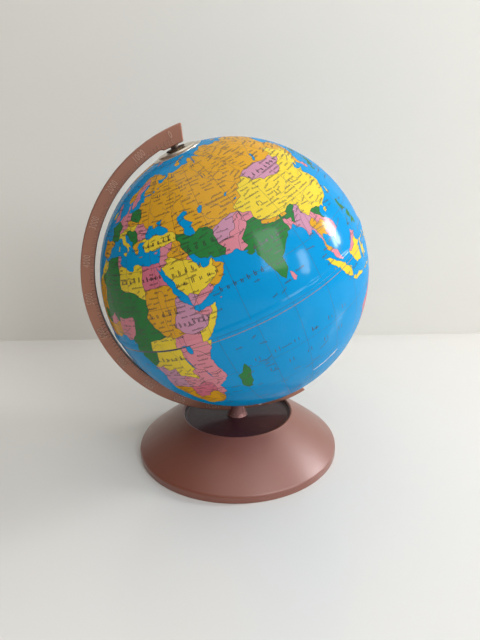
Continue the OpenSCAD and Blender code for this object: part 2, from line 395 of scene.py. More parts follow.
# Land outlines, "longitude,latitude" in degrees: name, colour, points. The colour is used where
# no country's own colour is given below. Coasts get their fine crinkle from crinkled().
LAND = (
    ("africa_europe_asia", "orange", """
-6,35.8 -6.8,34 -9.7,31.5 -10,29.5 -13,27.7 -14.5,26.2 -16,23.7 -17,21 -16.2,19.5 -16.4,16 -17.4,14.7
-16.7,12.6 -15,11 -13.2,8.8 -12.5,7.4 -9.2,5 -7.5,4.4 -4,5.2 -2,4.8 0,5.6 2.7,6.4 4.4,6.3 6,4.3 8.6,4.7
9.8,3 9.4,.3 8.8,-.8 10.5,-3.2 12.2,-6 13.3,-8.6 13.8,-10.8 12.5,-13.5 11.8,-17.5 13.4,-20.8 14.5,-22.8
15,-26.5 16.4,-28.7 18.2,-31.8 18.4,-34.2 20,-34.8 22.5,-34 25.6,-34 28,-33 30.5,-31 32,-28.8 32.9,-25.9
35.4,-24 35.4,-21 34.8,-19.8 37,-18 39,-17 40.7,-15 40.4,-11.5 39.4,-8.5 39.5,-6.8 38.8,-6 39.5,-4.4
41.6,-1.8 43.3,.5 46,2.4 48,4.6 49.5,6.8 50.8,9.4 51.2,11.8 49,11.2 46.5,10.8 44.3,10.5 43,11.6 43.2,12.6
41.2,14.4 39.6,15.4 38.5,17.8 37.3,19 37.2,21 35.6,23.4 34,26.2 32.6,29.9 34.2,27.8 34.9,29.4 35.6,27.8
37.2,25 38.6,23.4 39.2,20.8 41,18.8 42.4,17 42.8,15 43.3,12.8 45,12.9 47.5,13.6 49,14.3 52,15.7 53,16.7
55,17.1 56.4,18 57.7,19 58.7,20.6 59.8,22.5 58.6,23.7 57,24.3 56.4,26.3 55,25.3 54,24.1 52,24 51.5,24.6
51.5,25.9 51,26 50.7,24.9 50.1,26.5 48.8,28 47.9,30 50.2,30 51,28.8 52.5,27.5 54.7,26.6 56.5,27.1
57.2,25.8 59,25.4 61.6,25.1 66.6,25.3 67.3,24.2 68.4,23.5 70.4,23 69,22.3 70.6,20.9 72.2,21.2 72.5,22.3
72.8,19 73.5,16.5 74.6,14 75.8,11.5 76.4,9.5 77.5,8.1 78.4,9 79.5,10.3 80.2,13 80.1,15.2 82.3,16.7
84.5,18.9 86.6,20.2 87.2,21.5 89.8,21.8 91.2,22.8 92.3,20.8 93.9,19.5 94.5,17.9 94.4,16 95.6,15.8
96.9,17 97.6,16.4 98,14.5 98.6,12.5 98.5,9.8 98.4,8 99.6,6.8 100.4,5.6 101.2,3.2 103.4,1.4 104.1,1.6
103.4,4 102.9,5.8 101.4,6.8 100.3,8.2 99.4,9.4 99.6,11.6 100.2,13.3 101,13.2 102.4,12.1 103.2,10.8
104.6,10.4 105,8.7 106.8,10.5 109,11.5 109.2,13 108.5,15.5 107,16.8 105.8,18.6 106.2,20.2 108,21.5
109.7,21.5 110,20.4 110.6,21.3 113.5,22.3 115.7,22.8 117.5,24 119.3,25.8 121.6,28.6 121.8,30.6
121.2,31.9 120.2,34 119.3,35 120.6,36.3 122.4,37 119.1,37.3 117.8,38.8 119.5,39.6 121.2,40.8 121.4,38.9
124.4,39.9 125.2,38.6 126.6,37.3 126.4,34.8 127.8,34.6 129.3,35.4 129.2,37.2 127.5,39.5 129.7,41.4
131,42.6 133,42.8 135.5,44.2 138.5,46.8 140.4,49 140.6,51.3 141.2,53.2 138,53.8 135.6,54.7 138.8,57.5
143,59.3 149,59.5 155,59.5 157,61.6 160.3,61.8 163.6,62.5 163.6,60.3 162,58 157,57.6 155.6,56 156,53
156.8,51 158.5,52.8 160,54.8 162.8,56.4 163.3,58.5 166,60 170.5,60 174,61.8 179.2,62.4 177.6,64.6
181,65.3 181,68.8 176,69.8 170.6,69.1 165,69.5 160.5,69.6 156,71 150,71.6 140,72.5 132.5,71.3 129,71.2
126.5,73.4 120,73 113.5,73.6 110,74.2 113,75.6 111,76.7 104.5,77.7 98,76.2 87,75 80.5,73.6 80.5,72.2
82.4,70.8 80.6,70.6 78,72.3 75,72.8 73.6,71 73.8,68.5 71.6,66.8 72.6,69 72.8,71.2 71.6,73 69.5,73
67,71.5 66.8,69.5 64.5,69.3 60.5,69.8 57,68.6 54,68.3 48,67.7 45.8,68.4 43.8,68.4 43.8,66.4 40,65.6
38,64.2 35,64.4 32.6,66.8 38,66.1 41.2,66.8 40.8,67.9 36,69.2 31,70.3 25,71 19.5,70 16,68.6 14.5,67.2
12.5,65.4 10.5,63.9 8,63 5.2,61.8 5.2,59 7.3,58 10.6,59.4 11.2,58.5 12.9,55.5 14.3,55.5 16.3,56.5
16.6,57.8 18.8,59.6 17.3,61 17.5,62.2 20.5,63.8 22,65.5 24.8,65.6 24.8,64.6 21.6,62.8 21.3,61 23,59.9
26,60.3 30,60 28,59.5 24,59.4 23.5,58.4 24.3,57.3 21.8,57.4 21,55 18.5,54.8 14.2,54 10.9,54 10.6,56.4
10.4,57.6 8.3,57 8.6,54 7,53.4 4.8,53 3.4,51.4 1.7,50.9 .2,49.6 -1.5,49.7 -1.6,48.7 -4.7,48.5 -2.4,47.3
-1.2,46 -1.4,43.5 -8,43.7 -9.2,43 -8.8,41 -9.4,38.8 -8.9,37 -6.4,36.9 -5.4,36.1 -2.1,36.8 -.6,37.7
0,38.8 -.3,39.6 .8,40.9 3.2,42 3.4,43.3 6,43.1 8.8,44.4 10.3,43.8 11.2,42.3 14.2,40.8 15.8,39.8
16,38 17.1,39.1 16.8,40.5 18.4,39.9 16.1,41.7 14.2,42.4 13.5,43.7 12.4,44.8 13.6,45.7 14.5,44.9
17,43 19.4,41.9 19.4,40.4 21.1,38.2 21.8,36.9 23,36.5 23.8,37.8 22.9,39.2 24,40.6 26,40.7 27.4,40.6
29,41 27.3,40.2 26.3,39.4 27,38.2 27.5,36.8 29.7,36.2 30.6,36.8 32.5,36.1 34,36.3 36,36.7 35.9,34.8
34.9,32 34.2,31.2 32.2,31.2 31,31.5 29,30.9 25,31.6 23.2,32.6 21.5,32.8 20.1,32.2 20,30.8 19,30.3
15.6,31.4 15,32.4 11.8,33 10.2,34.3 11,35.6 10.8,37 9.6,37.3 6,37 3,36.9 0,35.9 -2.2,35.1 -5.2,35.8"""),
    ("chukotka", "orange", "-181,65.3 -174,64.4 -170,66 -175,67.3 -181,68.8"),
    ("madagascar", "green", """
49.3,-12 50.4,-15.5 49.4,-18 47.3,-24.8 45.2,-25.5 43.6,-23 44.4,-20 44.3,-16.8 46.5,-15.8 48,-13.6"""),
    ("ceylon", "pink", "80,9.7 81.2,8.5 81.8,7 80.8,6 80,6.4 79.8,8"),
    ("sumatra", "yellow", """
95.3,5.6 97.5,5.2 100,2.6 103,.5 104,-1 106,-3 105.8,-5.8 104,-5 101.5,-3 99.4,0 97.5,2.4"""),
    ("nias", "yellow", "97.1,1.4 98,.6 97.6,.6"),
    ("java", "yellow", "105.3,-6.7 106.8,-6 108.8,-6.8 111,-6.5 114.4,-7.7 114.4,-8.7 110,-8.1 106.5,-7.4"),
    ("bangka", "yellow", "105.4,-1.7 106.4,-2.4 106.6,-3 105.6,-2.3"),
    ("borneo", "yellow", """
109,1.8 111.2,2.2 113,3.2 115,5 116.8,7 119.2,5.2 117.7,4 118,2.2 119,1 117.5,.5 116.5,-2 116,-4
114.5,-3.7 111.8,-3.4 110,-1.5 109,.3"""),
    ("celebes", "yellow", """
119.7,.8 121,1.3 124,.8 125.2,1.6 124.5,.4 120.6,.4 121,-1 123.3,-.9 121.8,-2 122.6,-4.6 121.5,-4.7
121,-2.8 120.4,-3.2 120.4,-5.5 119.5,-5.4 118.9,-3"""),
    ("flores", "yellow", "116,-8.4 119,-8.5 122.8,-8.3 122.6,-8.9 118.5,-9"),
    ("timor", "yellow", "123.7,-10.3 127,-8.4 125.6,-8.6 124,-9.4"),
    ("halmahera", "yellow", "127.6,1.8 128.6,.8 128,-.6 127.6,.5"),
    ("ceram", "yellow", "128,-3.2 130.8,-3.3 130.4,-3.9 128.4,-3.5"),
    ("new_guinea", "yellow", """
131,-.8 133.8,-.8 134.3,-3 137,-1.6 141,-2.6 145,-4.3 147.8,-6.2 147.2,-7 150.5,-10.5 147,-9.7
144,-7.7 142.5,-9.2 138.5,-8.2 138,-5.6 133.5,-4 133.2,-2.4 131,-1.5"""),
    ("new_britain", "orange", "148.5,-5.7 151.5,-4.3 152,-5 150,-6.2"),
    ("luzon", "green", "120.6,18.5 122.2,18.4 121.6,16 124,13 120.8,13.8 119.9,16"),
    ("visayas", "green", "122,11.8 125.4,12.4 125.2,10.2 123,9.2 122,10.5"),
    ("mindanao", "green", "122,7.8 125.3,9.7 126.4,7.5 125.5,5.8 123.8,7.6 122,7"),
    ("palawan", "green", "117.3,8.4 119.4,11.2 119.3,10.3 117.8,8.3"),
    ("formosa", "yellow", "120.2,23 121.5,25.2 121.9,24.8 120.9,22"),
    ("hainan", "yellow", "108.8,19.3 109.4,20 111,20 110.3,18.6 109,18.4"),
    ("honshu", "green", """
131,34.3 132.8,35.5 135.8,35.6 137,37.2 138.8,37.8 140,40 141.3,41.3 142,39.5 141,38 140.8,35.8
138.8,34.7 135.8,33.6 133,34.3"""),
    ("kyushu", "green", "130,33.5 131.9,33.4 131.2,31.4 130.2,31.4 129.8,32.8"),
    ("shikoku", "green", "132.5,33.8 134.6,34 133.8,33.3 132.8,32.9"),
    ("hokkaido", "green", "140,41.5 140.4,43.3 141.8,45.4 144.5,43.9 145.4,43.3 143.2,42 141,42.5"),
    ("sakhalin", "orange", "142,46.2 142.3,49.5 142,52.5 142.8,54.2 143.3,52 144.5,49 142.9,46.6"),
    ("britain", "pink", """
-5.3,50.1 -3.4,50.5 1.3,51.1 .7,51.7 1.7,52.7 .2,53.2 -1.2,54.7 -2.2,56 -1.9,57.5 -4,57.8 -3.2,58.6
-5,58.5 -6,56.8 -4.9,55 -3.2,54.9 -3,53.5 -4.5,53.2 -4.3,52.2 -5,51.8 -3.2,51.4"""),
    ("ireland", "yellow", "-6.3,52.2 -5.8,54.6 -7.3,55.3 -8.6,54.4 -10,54 -9.4,52.6 -10,51.7 -8,51.9"),
    ("iceland", "pink", "-22.6,64 -24,65.5 -22,66.4 -18,66.1 -14.8,66 -14,64.9 -18.7,63.4"),
    ("novaya_zemlya", "orange", """
51.6,71.8 53,73.4 56,75 61,76.2 68,77 68,76.2 60.5,75.1 57,73.5 57.4,71 53.8,70.8"""),
    ("svalbard", "pink", "11,79.4 15.5,80 27,80.1 22,78.3 17,76.7 14,78"),
    ("franz_josef", "orange", "45,80.8 55,81.5 62,81 52,80.2"),
    ("severnaya_zemlya", "orange", "95,79 100,81 105,79.5 101,78.3"),
    ("new_siberian", "orange", "137,75.5 142,76 150,75.2 142,73.7"),
    ("sicily", "yellow", "12.5,38 15.6,38.2 15.1,36.7"),
    ("sardinia", "yellow", "8.3,41 9.6,41 9.6,39.2 8.5,39"),
    ("corsica", "green", "8.7,42.5 9.5,42.9 9.4,41.5 8.8,41.5"),
    ("crete", "orange", "23.6,35.5 26.2,35.3 25,34.9"),
    ("cyprus", "pink", "32.4,35 34.4,35.6 33.6,34.7"),
    ("fernando_po", "yellow", "8.4,3.7 9,3.2 8.5,2.6"),
    ("socotra", "pink", "53.4,12.7 54.4,12.6 53.8,12.3"),
    ("australia", "pink", """
113.7,-22.5 114.2,-26.2 115.8,-32 115,-34.2 118,-35 123.8,-33.8 129,-31.6 131.5,-31.5 134.2,-33
135.8,-34.9 137.8,-32.8 138.3,-35.4 140,-37.8 144,-38.6 146.4,-39.1 150,-37.4 151.3,-33.8 153.5,-28.2
152.5,-25 149.8,-22.3 146.3,-19 145.4,-15 143.6,-14.2 142.5,-10.8 141.6,-13.5 140.8,-17.5 139.2,-17.5
135.8,-15 136.9,-12.2 132.6,-11.4 130.8,-12.4 129.5,-15 127,-14 125,-15.5 122.3,-18 118.8,-20.2"""),
    ("tasmania", "pink", "144.8,-40.8 148.3,-40.9 147.8,-43.2 146,-43.5"),
    ("new_zealand_north", "pink", """
173,-34.6 175.5,-36.8 178.4,-37.8 177,-39.4 175.2,-41.5 173.9,-39.4 174.7,-37.5"""),
    ("new_zealand_south", "pink", """
172.7,-40.6 174.2,-41.7 171.2,-44.2 170.4,-46 168.4,-46.6 166.6,-46 170,-43.2"""),
    ("new_caledonia", "green", "164,-20.2 167,-22.3 165.5,-21.8"),
    ("americas", "yellow", """
-168,65.6 -162,66.4 -166,68.3 -156.5,71.2 -145,70.1 -135,69.2 -128,70 -120,69.5 -114,68 -108,68
-101,67.8 -96,68.2 -94,71.8 -91,69.5 -88,68.5 -85.5,69.7 -82,69.2 -81.5,67.5 -86,66.2 -87,64.2
-93.5,61.5 -94.6,59 -92.5,57 -85,55.3 -82.3,55 -82.2,52.8 -80,51.2 -78.8,52.5 -79,54.6 -76.6,57
-78.2,59 -77.5,62.3 -74,62.3 -70,61 -67,58.6 -64.5,60.3 -61.8,57 -57,53.8 -55.8,52 -60,50.2
-66.5,50.2 -69,48.5 -65,49 -64.5,47 -61.2,45.6 -65.7,43.5 -66.5,45 -70,43.8 -70.3,41.8 -74,40.6
-75.5,38 -75.6,35.3 -78,33.9 -81.2,31.5 -80,27 -80.6,25.2 -82.5,28 -84,30 -89.5,30.2 -94.5,29.4
-97.3,27.5 -97.8,22.5 -96,19 -94,18.2 -91.5,18.6 -90.3,21 -87,21.4 -88.2,16.5 -84,15.8 -83.3,14.8
-83.8,11 -81.8,9 -79.5,9.5 -77.2,8.4 -75.5,10.7 -72,12.2 -71.5,11 -69.8,12 -68,10.7 -62,10.6
-60,8.6 -57.5,6.2 -53,5.6 -51,4 -50,1.5 -48.5,-.8 -44.5,-2.4 -40,-3 -37,-4.8 -35,-6 -35,-8.8
-37.2,-11.8 -39,-13.8 -39.2,-17.5 -42,-22.9 -46,-24 -48.6,-26 -48.8,-28.6 -51.2,-31.5 -53.5,-34
-56.5,-34.8 -58.4,-34 -57,-36.8 -59,-38.7 -62.2,-39 -65,-41 -63.8,-42.6 -67.5,-46 -66,-47.5
-69,-51 -65.3,-54.7 -68.5,-55.5 -72,-53.8 -75,-50.5 -75.5,-46.6 -73.2,-44 -73.7,-39.8 -71.6,-34
-71.4,-30 -70.3,-25 -70.2,-18.4 -76.3,-13.8 -79.5,-8 -81.2,-6 -80,-3 -80.9,-1.5 -79.8,1 -77.5,3.8
-77.5,7 -78.4,8.5 -80.3,7.5 -82.8,8.2 -85.8,10.8 -87.7,13 -91.5,14 -94.5,16.2 -97,15.8 -101.5,17.6
-105.3,20 -105.6,22.5 -108.8,25.5 -112.8,30 -114.7,31.7 -113,28 -109.6,23 -112,25 -115,28
-117,32.4 -120.5,34.5 -122.4,37.2 -124.3,40.3 -124.2,46 -123,48.6 -127.5,51 -130.5,54.8 -134.5,58
-139.5,59.7 -146,60.8 -151,59.5 -151,61 -154,58.5 -158.5,56 -163.5,54.8 -158,58.4 -162,58.8
-165.5,61.2 -161,64.3 -166,64.5"""),
    ("greenland", "orange", """
-73,78.3 -66,80.5 -50,82.4 -32,83.6 -21,82 -18,79.5 -20,75 -22,71.5 -26,69 -34,66.4 -40,65 -43,60
-48,61.2 -53,65.5 -51,69.5 -55,71 -58,75.3 -67,76"""),
    ("baffin", "pink", """
-65,62.5 -61.5,66.5 -68,69.5 -78,72.5 -88,73.5 -89,70.5 -79,69.5 -73.5,68 -73,65 -78,64.2 -72,62.8"""),
    ("victoria_island", "pink", "-117,69.5 -105,69 -105,72.5 -113,73 -118,71"),
    ("banks_island", "pink", "-125,72 -120,74.3 -117,73 -123,71.2"),
    ("ellesmere", "pink", "-90,77 -76,78.5 -62,82.4 -78,83 -90,81.5"),
    ("devon", "pink", "-95,75 -80,74.6 -80,75.7 -93,76.6"),
    ("newfoundland", "pink", "-59.3,47.8 -56,51.5 -53,46.9 -55.5,47"),
    ("vancouver_island", "pink", "-128.2,50.6 -125,50 -123.5,48.4 -125.5,48.8"),
    ("cuba", "orange", "-84.8,22 -80,23 -74.3,20.2 -77.5,19.9 -78.5,21.5"),
    ("hispaniola", "pink", "-74.3,18.5 -73,19.8 -68.5,18.6 -71.5,17.9"),
    ("jamaica", "green", "-78.3,18.4 -76.3,18.1 -77.3,17.8"),
    ("hawaii", "yellow", "-156,20.2 -155,19.4 -155.8,19"),
    ("falklands", "pink", "-61,-51.5 -58,-51.5 -59.5,-52.3"),
    ("antarctica", "white", """
-181,-78 -150,-77 -135,-74 -100,-73.5 -75,-72 -62,-65 -57,-63.3 -61,-70 -60,-75 -40,-78 -25,-74 -10,-71
10,-70 35,-69 55,-66.5 70,-69 80,-67.5 100,-66 115,-66.5 135,-66.2 150,-68.5 165,-70.7 170,-73
164,-77.5 181,-78 181,-89 -181,-89"""),
)

LAKES = (
    ("black_sea", """
28.9,41.2 28,42 28,43.4 29.6,45 30.8,46.3 33.2,46 32.7,45.4 33.6,44.5 36.5,45.3 35,46.2 37,47 39.2,47.1
38,46.2 37.5,45 39,44 41.5,42.5 41.4,41.4 39,41 36.5,41.4 35,42 33,42 31,41.2"""),
    ("caspian", """
47,44.5 47.6,45.6 49.5,46.4 51.5,46.9 53.2,46.3 53,45 51,44.8 50.8,44 51.7,43 52.8,42.2 54.4,41.3
53,40.4 53.6,39 53.8,37 51.5,36.6 49.6,37.5 48.9,38.5 49.5,40.3 48.2,42"""),
    ("aral", "58.4,43.6 58.6,45.6 60.4,46.4 61.4,45.8 60.5,44.2 59.3,43.4"),
    ("balkhash", "73.4,45.2 74.4,46.2 78.6,46.4 75,45.7 74.2,44.8"),
    ("issyk_kul", "76,42.2 78.2,42.7 77.4,42"),
    ("baikal", "104,51.6 106,53 109,55.6 109.7,55.3 108,53 105.5,51.6"),
    ("victoria", "31.8,-.8 31.9,.2 33.6,.4 34.2,-.8 33.6,-2.5 32.5,-2.4"),
    ("tanganyika", "29.3,-3.4 29.8,-5 30.4,-6.8 31.1,-8.6 30.5,-8.3 29.5,-6 29,-4"),
    ("nyasa", "34,-9.6 34.8,-12 35.2,-14.2 34.5,-12.8 34,-11"),
    ("ladoga", "30.5,60.3 31,61.5 32.7,60.8 32,60.2"),
    ("onega", "34.5,61.5 35.5,62.2 36,61.2"),
    ("superior", "-92,46.8 -88.5,48.7 -85,47.5 -85,46.6 -88,46.9"),
    ("michigan", "-87.5,42 -87.8,44 -86,45.8 -85.5,44.8 -86.5,42.5"),
    ("huron", "-84,46 -81,45.8 -80.5,44.6 -82,43.2 -83.5,44 -83.4,45.3"),
    ("erie", "-83,41.8 -80,42.8 -79,42.8 -81.5,41.6"),
    ("ontario", "-79.5,43.3 -76.5,44 -76.6,43.5 -79,43.2"),
    ("great_bear", "-123,66 -119,67 -118,66 -121,65.2"),
    ("great_slave", "-116,61 -112,62.8 -110,62.6 -114,60.9"),
    ("winnipeg", "-98.5,53.5 -97,51 -96.3,51 -97.5,54"),
)

# Frontiers. Their ends run a little out to sea, where no line is drawn.
FRONTIERS = """
-1.9,35.6 -1.7,33 -4,31 -8.7,28.7 -8.7,27.4
-13.8,27.6 -8.7,27.6
-8.7,27.6 -4.8,25 1.2,21.1 4.3,19.2 12,23.5
12,23.5 10,24.4 9.6,26.5 9.9,29 9.2,31.8 11.6,33.4
9.2,31.8 8.3,34.5 8.6,37.3
-4.8,25 -5.5,15.6 -11.5,15.6 -14,16.4 -16.9,16.2
-11.5,15.6 -11.4,12.2 -17,12.4
-11.4,12.2 -8,10.3 -8.4,7.5 -11.6,6.6
-8.4,7.5 -7.3,4.2
-8,10.3 -5.3,10.4 -4.5,13 0,15 3.8,15.6 4.3,19.2
-5.3,10.4 -2.8,10 0,11 2.2,12
-2.8,10 -3,4.9
0,11 .8,9 1.2,5.9
2.2,12 1.2,9 1.6,6
2.2,12 .4,14.2 .3,15.6
2.2,12 3.6,11.7 2.7,9 2.7,6.1
3.6,11.7 4.1,13.6 7,13 10,13.3 13.6,13.7 14.2,12.4 13,9.5 11.3,6.5 8.5,4.4
12,23.5 15.5,23 15.5,16.8 13.6,13.7
12,23.5 15.5,23 24,19.2 24.6,22 25,22 25,32
24.6,22 37.6,22
24,19.2 24,15.7 22,13 22.8,11 24,8.7 27.4,5
39,18.2 37,17 36.5,14.3 34.5,10.8 33,8 35.9,4.6
27.4,5 30.9,3.6 33.9,4.2 35.9,4.6 39,3.6 41.5,4 45,5 46.5,7.2 47.4,8.3
43.4,11.6 43,10.6 45,9.2 47.4,8.3 49,9.2 49,11.6
41.5,4 41,0 41.8,-2.1
33.9,4.2 34.2,1 33.9,-1
29.5,-1.2 33.9,-1 37.7,-3.2 39.6,-4.9
30.9,3.6 29.8,.5 29.5,-1.2 29.2,-4.4 29.6,-6.4 30.8,-8.4
16.2,2 18.6,3.5 22.5,4.2 27.4,5
18.6,3.5 17.6,-.5 16,-3.8 14,-4.8 11.8,-5.9
12,-6.1 16.5,-6 17.5,-8 21.8,-7.3 22,-11 24,-11 26,-11.8 29,-13.4 29.6,-12.2 28.5,-9.2 30.8,-8.4
22.8,11 19,9 15.5,7.6 14.5,5 16.2,2 13,1.6 9.4,2.2
14.2,12.4 15.5,10 15.5,7.6
13,1.6 14,-2 10.9,-4
24,-11 22,-13 22,-16.2 23.4,-17.6
11.5,-17.3 18.5,-17.4 23.4,-17.6 25.3,-17.8 28.5,-15.8 30.4,-15.6 33,-14 34.6,-14.6
21,-17.2 20.8,-22 20,-22 20,-28.4 16.2,-28.8
20,-26.8 23,-25.6 25.8,-25.5 27,-23.6 29.4,-22.2 31.3,-22.4 32,-24.5 32,-26.8 33,-26.9
25.3,-17.8 27.7,-20.5 29.4,-22.2
30.4,-15.6 32.8,-17 32.8,-20 31.3,-22.4
34.6,-11.5 37.5,-11.7 40.8,-10.6
30.8,-8.4 33,-9.5 34,-9.7
41.3,41.5 43.5,41 44.8,39.7 44.5,37.2 42.4,37.2 40,36.9 36.7,36.8 35.7,36.2
42.4,37.2 41.2,34.5 38.8,33.4 39,32 42,31 44.7,29.2 46.5,29.1 47.2,28.6 48.6,28.4
39,32 37,31.5 38,30.4 36,29.2 34.8,29.4
34.9,29.4 34.2,31.3
46.5,29.1 47.8,30.2
44.5,37.2 46,35.8 45.6,34 47.7,31.2 48.2,30
44.8,39.7 46.5,38.9 49,38.4
53.7,37.3 56,38.2 59.5,37.4 61.2,35.4 60.6,33.5 61,31.5 60.9,29.8 63,27.2 61.6,25
61.2,35.4 64.5,36.5 67,37.2 71.5,38 74.8,37.3
60.9,29.8 66.3,29.9 67,31.6 69.5,32 70.5,34 71.5,36.5 74.8,37.3
68.2,23.4 71,24.5 70,27.5 73,29.8 75.3,32.4
75.3,32.4 74,33.5 74.8,37.3 76,35.8 79.5,34.8 79,32.5 75.3,32.4
79,32.5 79.6,31 81,30.2 84,28.8 88.1,28 91.8,28 94,29 96.2,29.3 97.3,28.2
81,30.2 80.1,28.8 82,27.7 85,26.9 88.1,26.8 88.1,28
89,28 89,27 90,26.8 91.9,26.9 91.8,28
88.8,21.4 89,23 88.3,24.5 88.5,26.2 89.6,26 90.2,25.2 92.3,25 91.5,23.6 92.6,22.6 92.2,20.6
92.6,22.6 93.4,24 94.7,25.5 95.2,26.8 97.3,28.2 98.7,27.5 98,24.4 98.8,23.2 100,21.5 102,22.5
100,21.5 100.4,20.4 98,19.6 97.4,18.4 98.7,16 98.6,15 99.4,12.5 98.6,10
100.4,20.4 101.2,19.5 101,17.6 104,18.2 104.8,16.5 105.5,14.4 102.5,13.6 102.6,12
102,22.5 103.2,20.5 105,19 105.6,17.6 107.4,17
102,22.5 104,22.9 106.5,22.4 108.2,21.3
99.6,6.7 103,6.3
109,1.9 110.5,.9 112.5,1.5 114.5,2 115.6,3.5 118,4.2
141,-2.4 141,-9.4
87.8,49.2 92,50.8 98,50.6 102,51.3 107,49.8 111,49.3 116.7,49.8 116,47.7 119.8,46.9 115.7,45.6 112,44.8
112,44.8 110,42.6 105,41.6 101,42.6 96.4,42.8 95.5,44.2 91,45.2 90.9,46.5 87.8,49.2
74.8,37.3 73.7,39.3 77,41 80.2,42 80.3,45 82.4,45.3 83,47.2 85.6,47.1 87.8,49.2
116.7,49.8 119.8,49.8 121,53.3 125.5,53 127.5,50 131,47.8 134.7,48.3 133,45.2 131,44.9 130.6,42.3
124.2,39.8 126.9,41.7 130.6,42.3 131.4,42.2
125.8,38 128.9,38.5
29.6,45.2 28.1,46 26.6,48 24.5,47.9 22.3,48.4 24,50.6 23.6,52.5 23.2,54 19,55.4
27.6,59.8 31.5,62.8 29.6,66.8 28.7,69.8 31,70.6
10.9,58.2 12.3,60.5 12.2,63 14.2,64.5 16,67 20.5,69 25.5,69 28.7,69.8
24.3,65.3 23.6,67.8 20.5,69
14.2,54.1 14.8,51 18.6,49.9 22.5,49.2 22.3,48.4 17,48 13.8,48.7 12.3,50.3 14.8,51
12.3,50.3 10.6,51.5 10.9,54.2
8,54.9 11.2,54.8
7.1,53.6 6.1,51.5 6.2,49.6 2.3,51.2
6.2,49.6 8.1,49 7.6,47.6 6.3,46.3 7,45.8 7.5,43.5
7.6,47.6 10.4,47.4 13,47.6 13.8,48.7
7,45.8 10.4,46.6 12.4,46.7 13.6,46.5 13.7,45.6
13.6,46.5 16.2,46.8 17,48
10.4,47.4 10.4,46.6
16.2,46.8 18.8,45.9 20.3,46.1 22.6,44.5 23,42.4 22.9,41.4 21,40.9 19.6,39.6
20.3,46.1 22.3,48.4
22.6,44.5 27,44.1 28.9,43.7
22.9,41.4 26.3,41.7 28.3,42
26.3,41.7 26,40.5
-1.9,43.6 3.4,42.4
-9,41.9 -6.5,41.8 -7.2,39 -7.4,36.8
42.5,16.6 43.5,17.5 45.5,16.6 46.5,16 48,17 52,18.4 53.2,16.4
46.5,16 44.3,13.8 43.2,12.8
52,18.4 55,19.9 56.6,22.3 55.4,23.8 56.2,24.6 56.3,26.5
129,-14.6 129,-32
138,-16.3 138,-26 129,-26
138,-26 141,-26 141,-38.3
141,-29 153.8,-28.3
141,-34 147,-36 150.2,-37.6
-123.5,49 -95,49 -89.5,48 -84.8,46.6 -82.4,45 -82.5,42.6 -79,42.8 -76.3,44.2 -71.3,45 -69,47.4 -67,44.6
-141,70.2 -141,60.2 -137.5,58.9 -130,54.7
-117.4,32.5 -111,31.3 -106.5,31.8 -104.5,29.6 -101.5,29.8 -99.2,26.4 -96.8,25.9
-92.4,14.3 -91,17.8 -88,18.2
-89.6,13.6 -89.2,14.5 -88,15.9
-87.6,12.8 -85,14 -83,15
-86,10.9 -83.5,10.9
-83,8.1 -82.4,9.6
-78,7.1 -77,8.8
-71.3,12.2 -72.5,10 -72,7 -67.5,6.2 -67,1.2 -64,2 -62.8,4 -60.7,5.2 -59.8,8.7
-60.7,5.2 -59.5,1.5 -56.5,2 -54.5,2.3 -51.4,4.2
-57,6.3 -56.5,2
-54,5.9 -54.5,2.3
-67,1.2 -69.8,1 -70,-4.3 -73,-2.4 -75.3,-.2 -79.2,1.7
-80.6,-3.5 -78.5,-5 -77.8,-3 -75.3,-.2
-70,-4.3 -73.5,-7 -72.8,-9.5 -70.5,-9.5 -69.6,-11 -69.2,-17.5 -70.6,-18.3
-69.6,-11 -65.4,-10 -65.3,-12 -60.5,-13.7 -60,-16.2 -57.8,-18 -58.1,-20 -61.8,-19.6 -62.6,-22.2 -67.5,-22.8
-69.2,-17.5 -68.4,-20 -67.5,-22.8 -68.5,-26 -70,-31 -70.3,-36 -71.6,-41 -71.7,-46 -73,-50 -70,-52 -68.6,-55.8
-58.1,-20 -57.8,-22 -55.7,-22.4 -54.6,-25.6 -55.8,-27.4 -58.6,-27.3 -57.7,-25.2 -62.6,-22.2
-54.6,-25.6 -53.8,-27 -57.6,-30.2 -53.2,-33.8
-57.6,-30.2 -58.2,-34.3
"""

# Points inside the countries of each colour
COUNTRIES = {
    "orange": """60,55 44,32.5 57.5,21.5 84,28.3 90.5,27.4 101,15.3 26,63 -4,40 22,39.5 30,15 -10,20 17,-22
23,-31 -1.5,7.5 -5.5,8 16,49.5 145,-6.5 -100,22 -65,7 -71,-33""",
    "yellow": """100,35 33,39 45,24 17,27 -6,33 46,3 23,-3 110,-.5 135,-4 12,43 18.5,47.2 14,47.4 -100,40
-150,65 -55,-10 -72,4 -56.3,-33 -85,15""",
    "green": """53,33 78,22 104,22 3,28 0,17 10,17 18,15 20,6.5 12,4 11.5,-.5 15,-1.5 20,52 2,47 20,43.5
-90,15.5 -75,-10 -58.5,4 -58,-24""",
    "pink": """38,35 37,31.2 50,16 69.3,29 77,34.5 90.5,24.2 103,19.5 102,4 115,4.6 127,37 9.5,34.5 7,9
32,1 37,0 35,-6 25,-14 38,-14 16,60 9,52 12,52.5 5,51 10,46.9 25,46 25,42.8 9.3,56 -100,58 -65,-17
-78.6,-1.3 47.6,29.2 45.5,10.2 -8,5 -3,13""",
    "mauve": """100,47 67,34.5 96,22 40,9 17,-12 44.5,15.2 -65,-38 -84,10 -53,4""",
    "rose": "24,-23 30,-19 29,26",
}

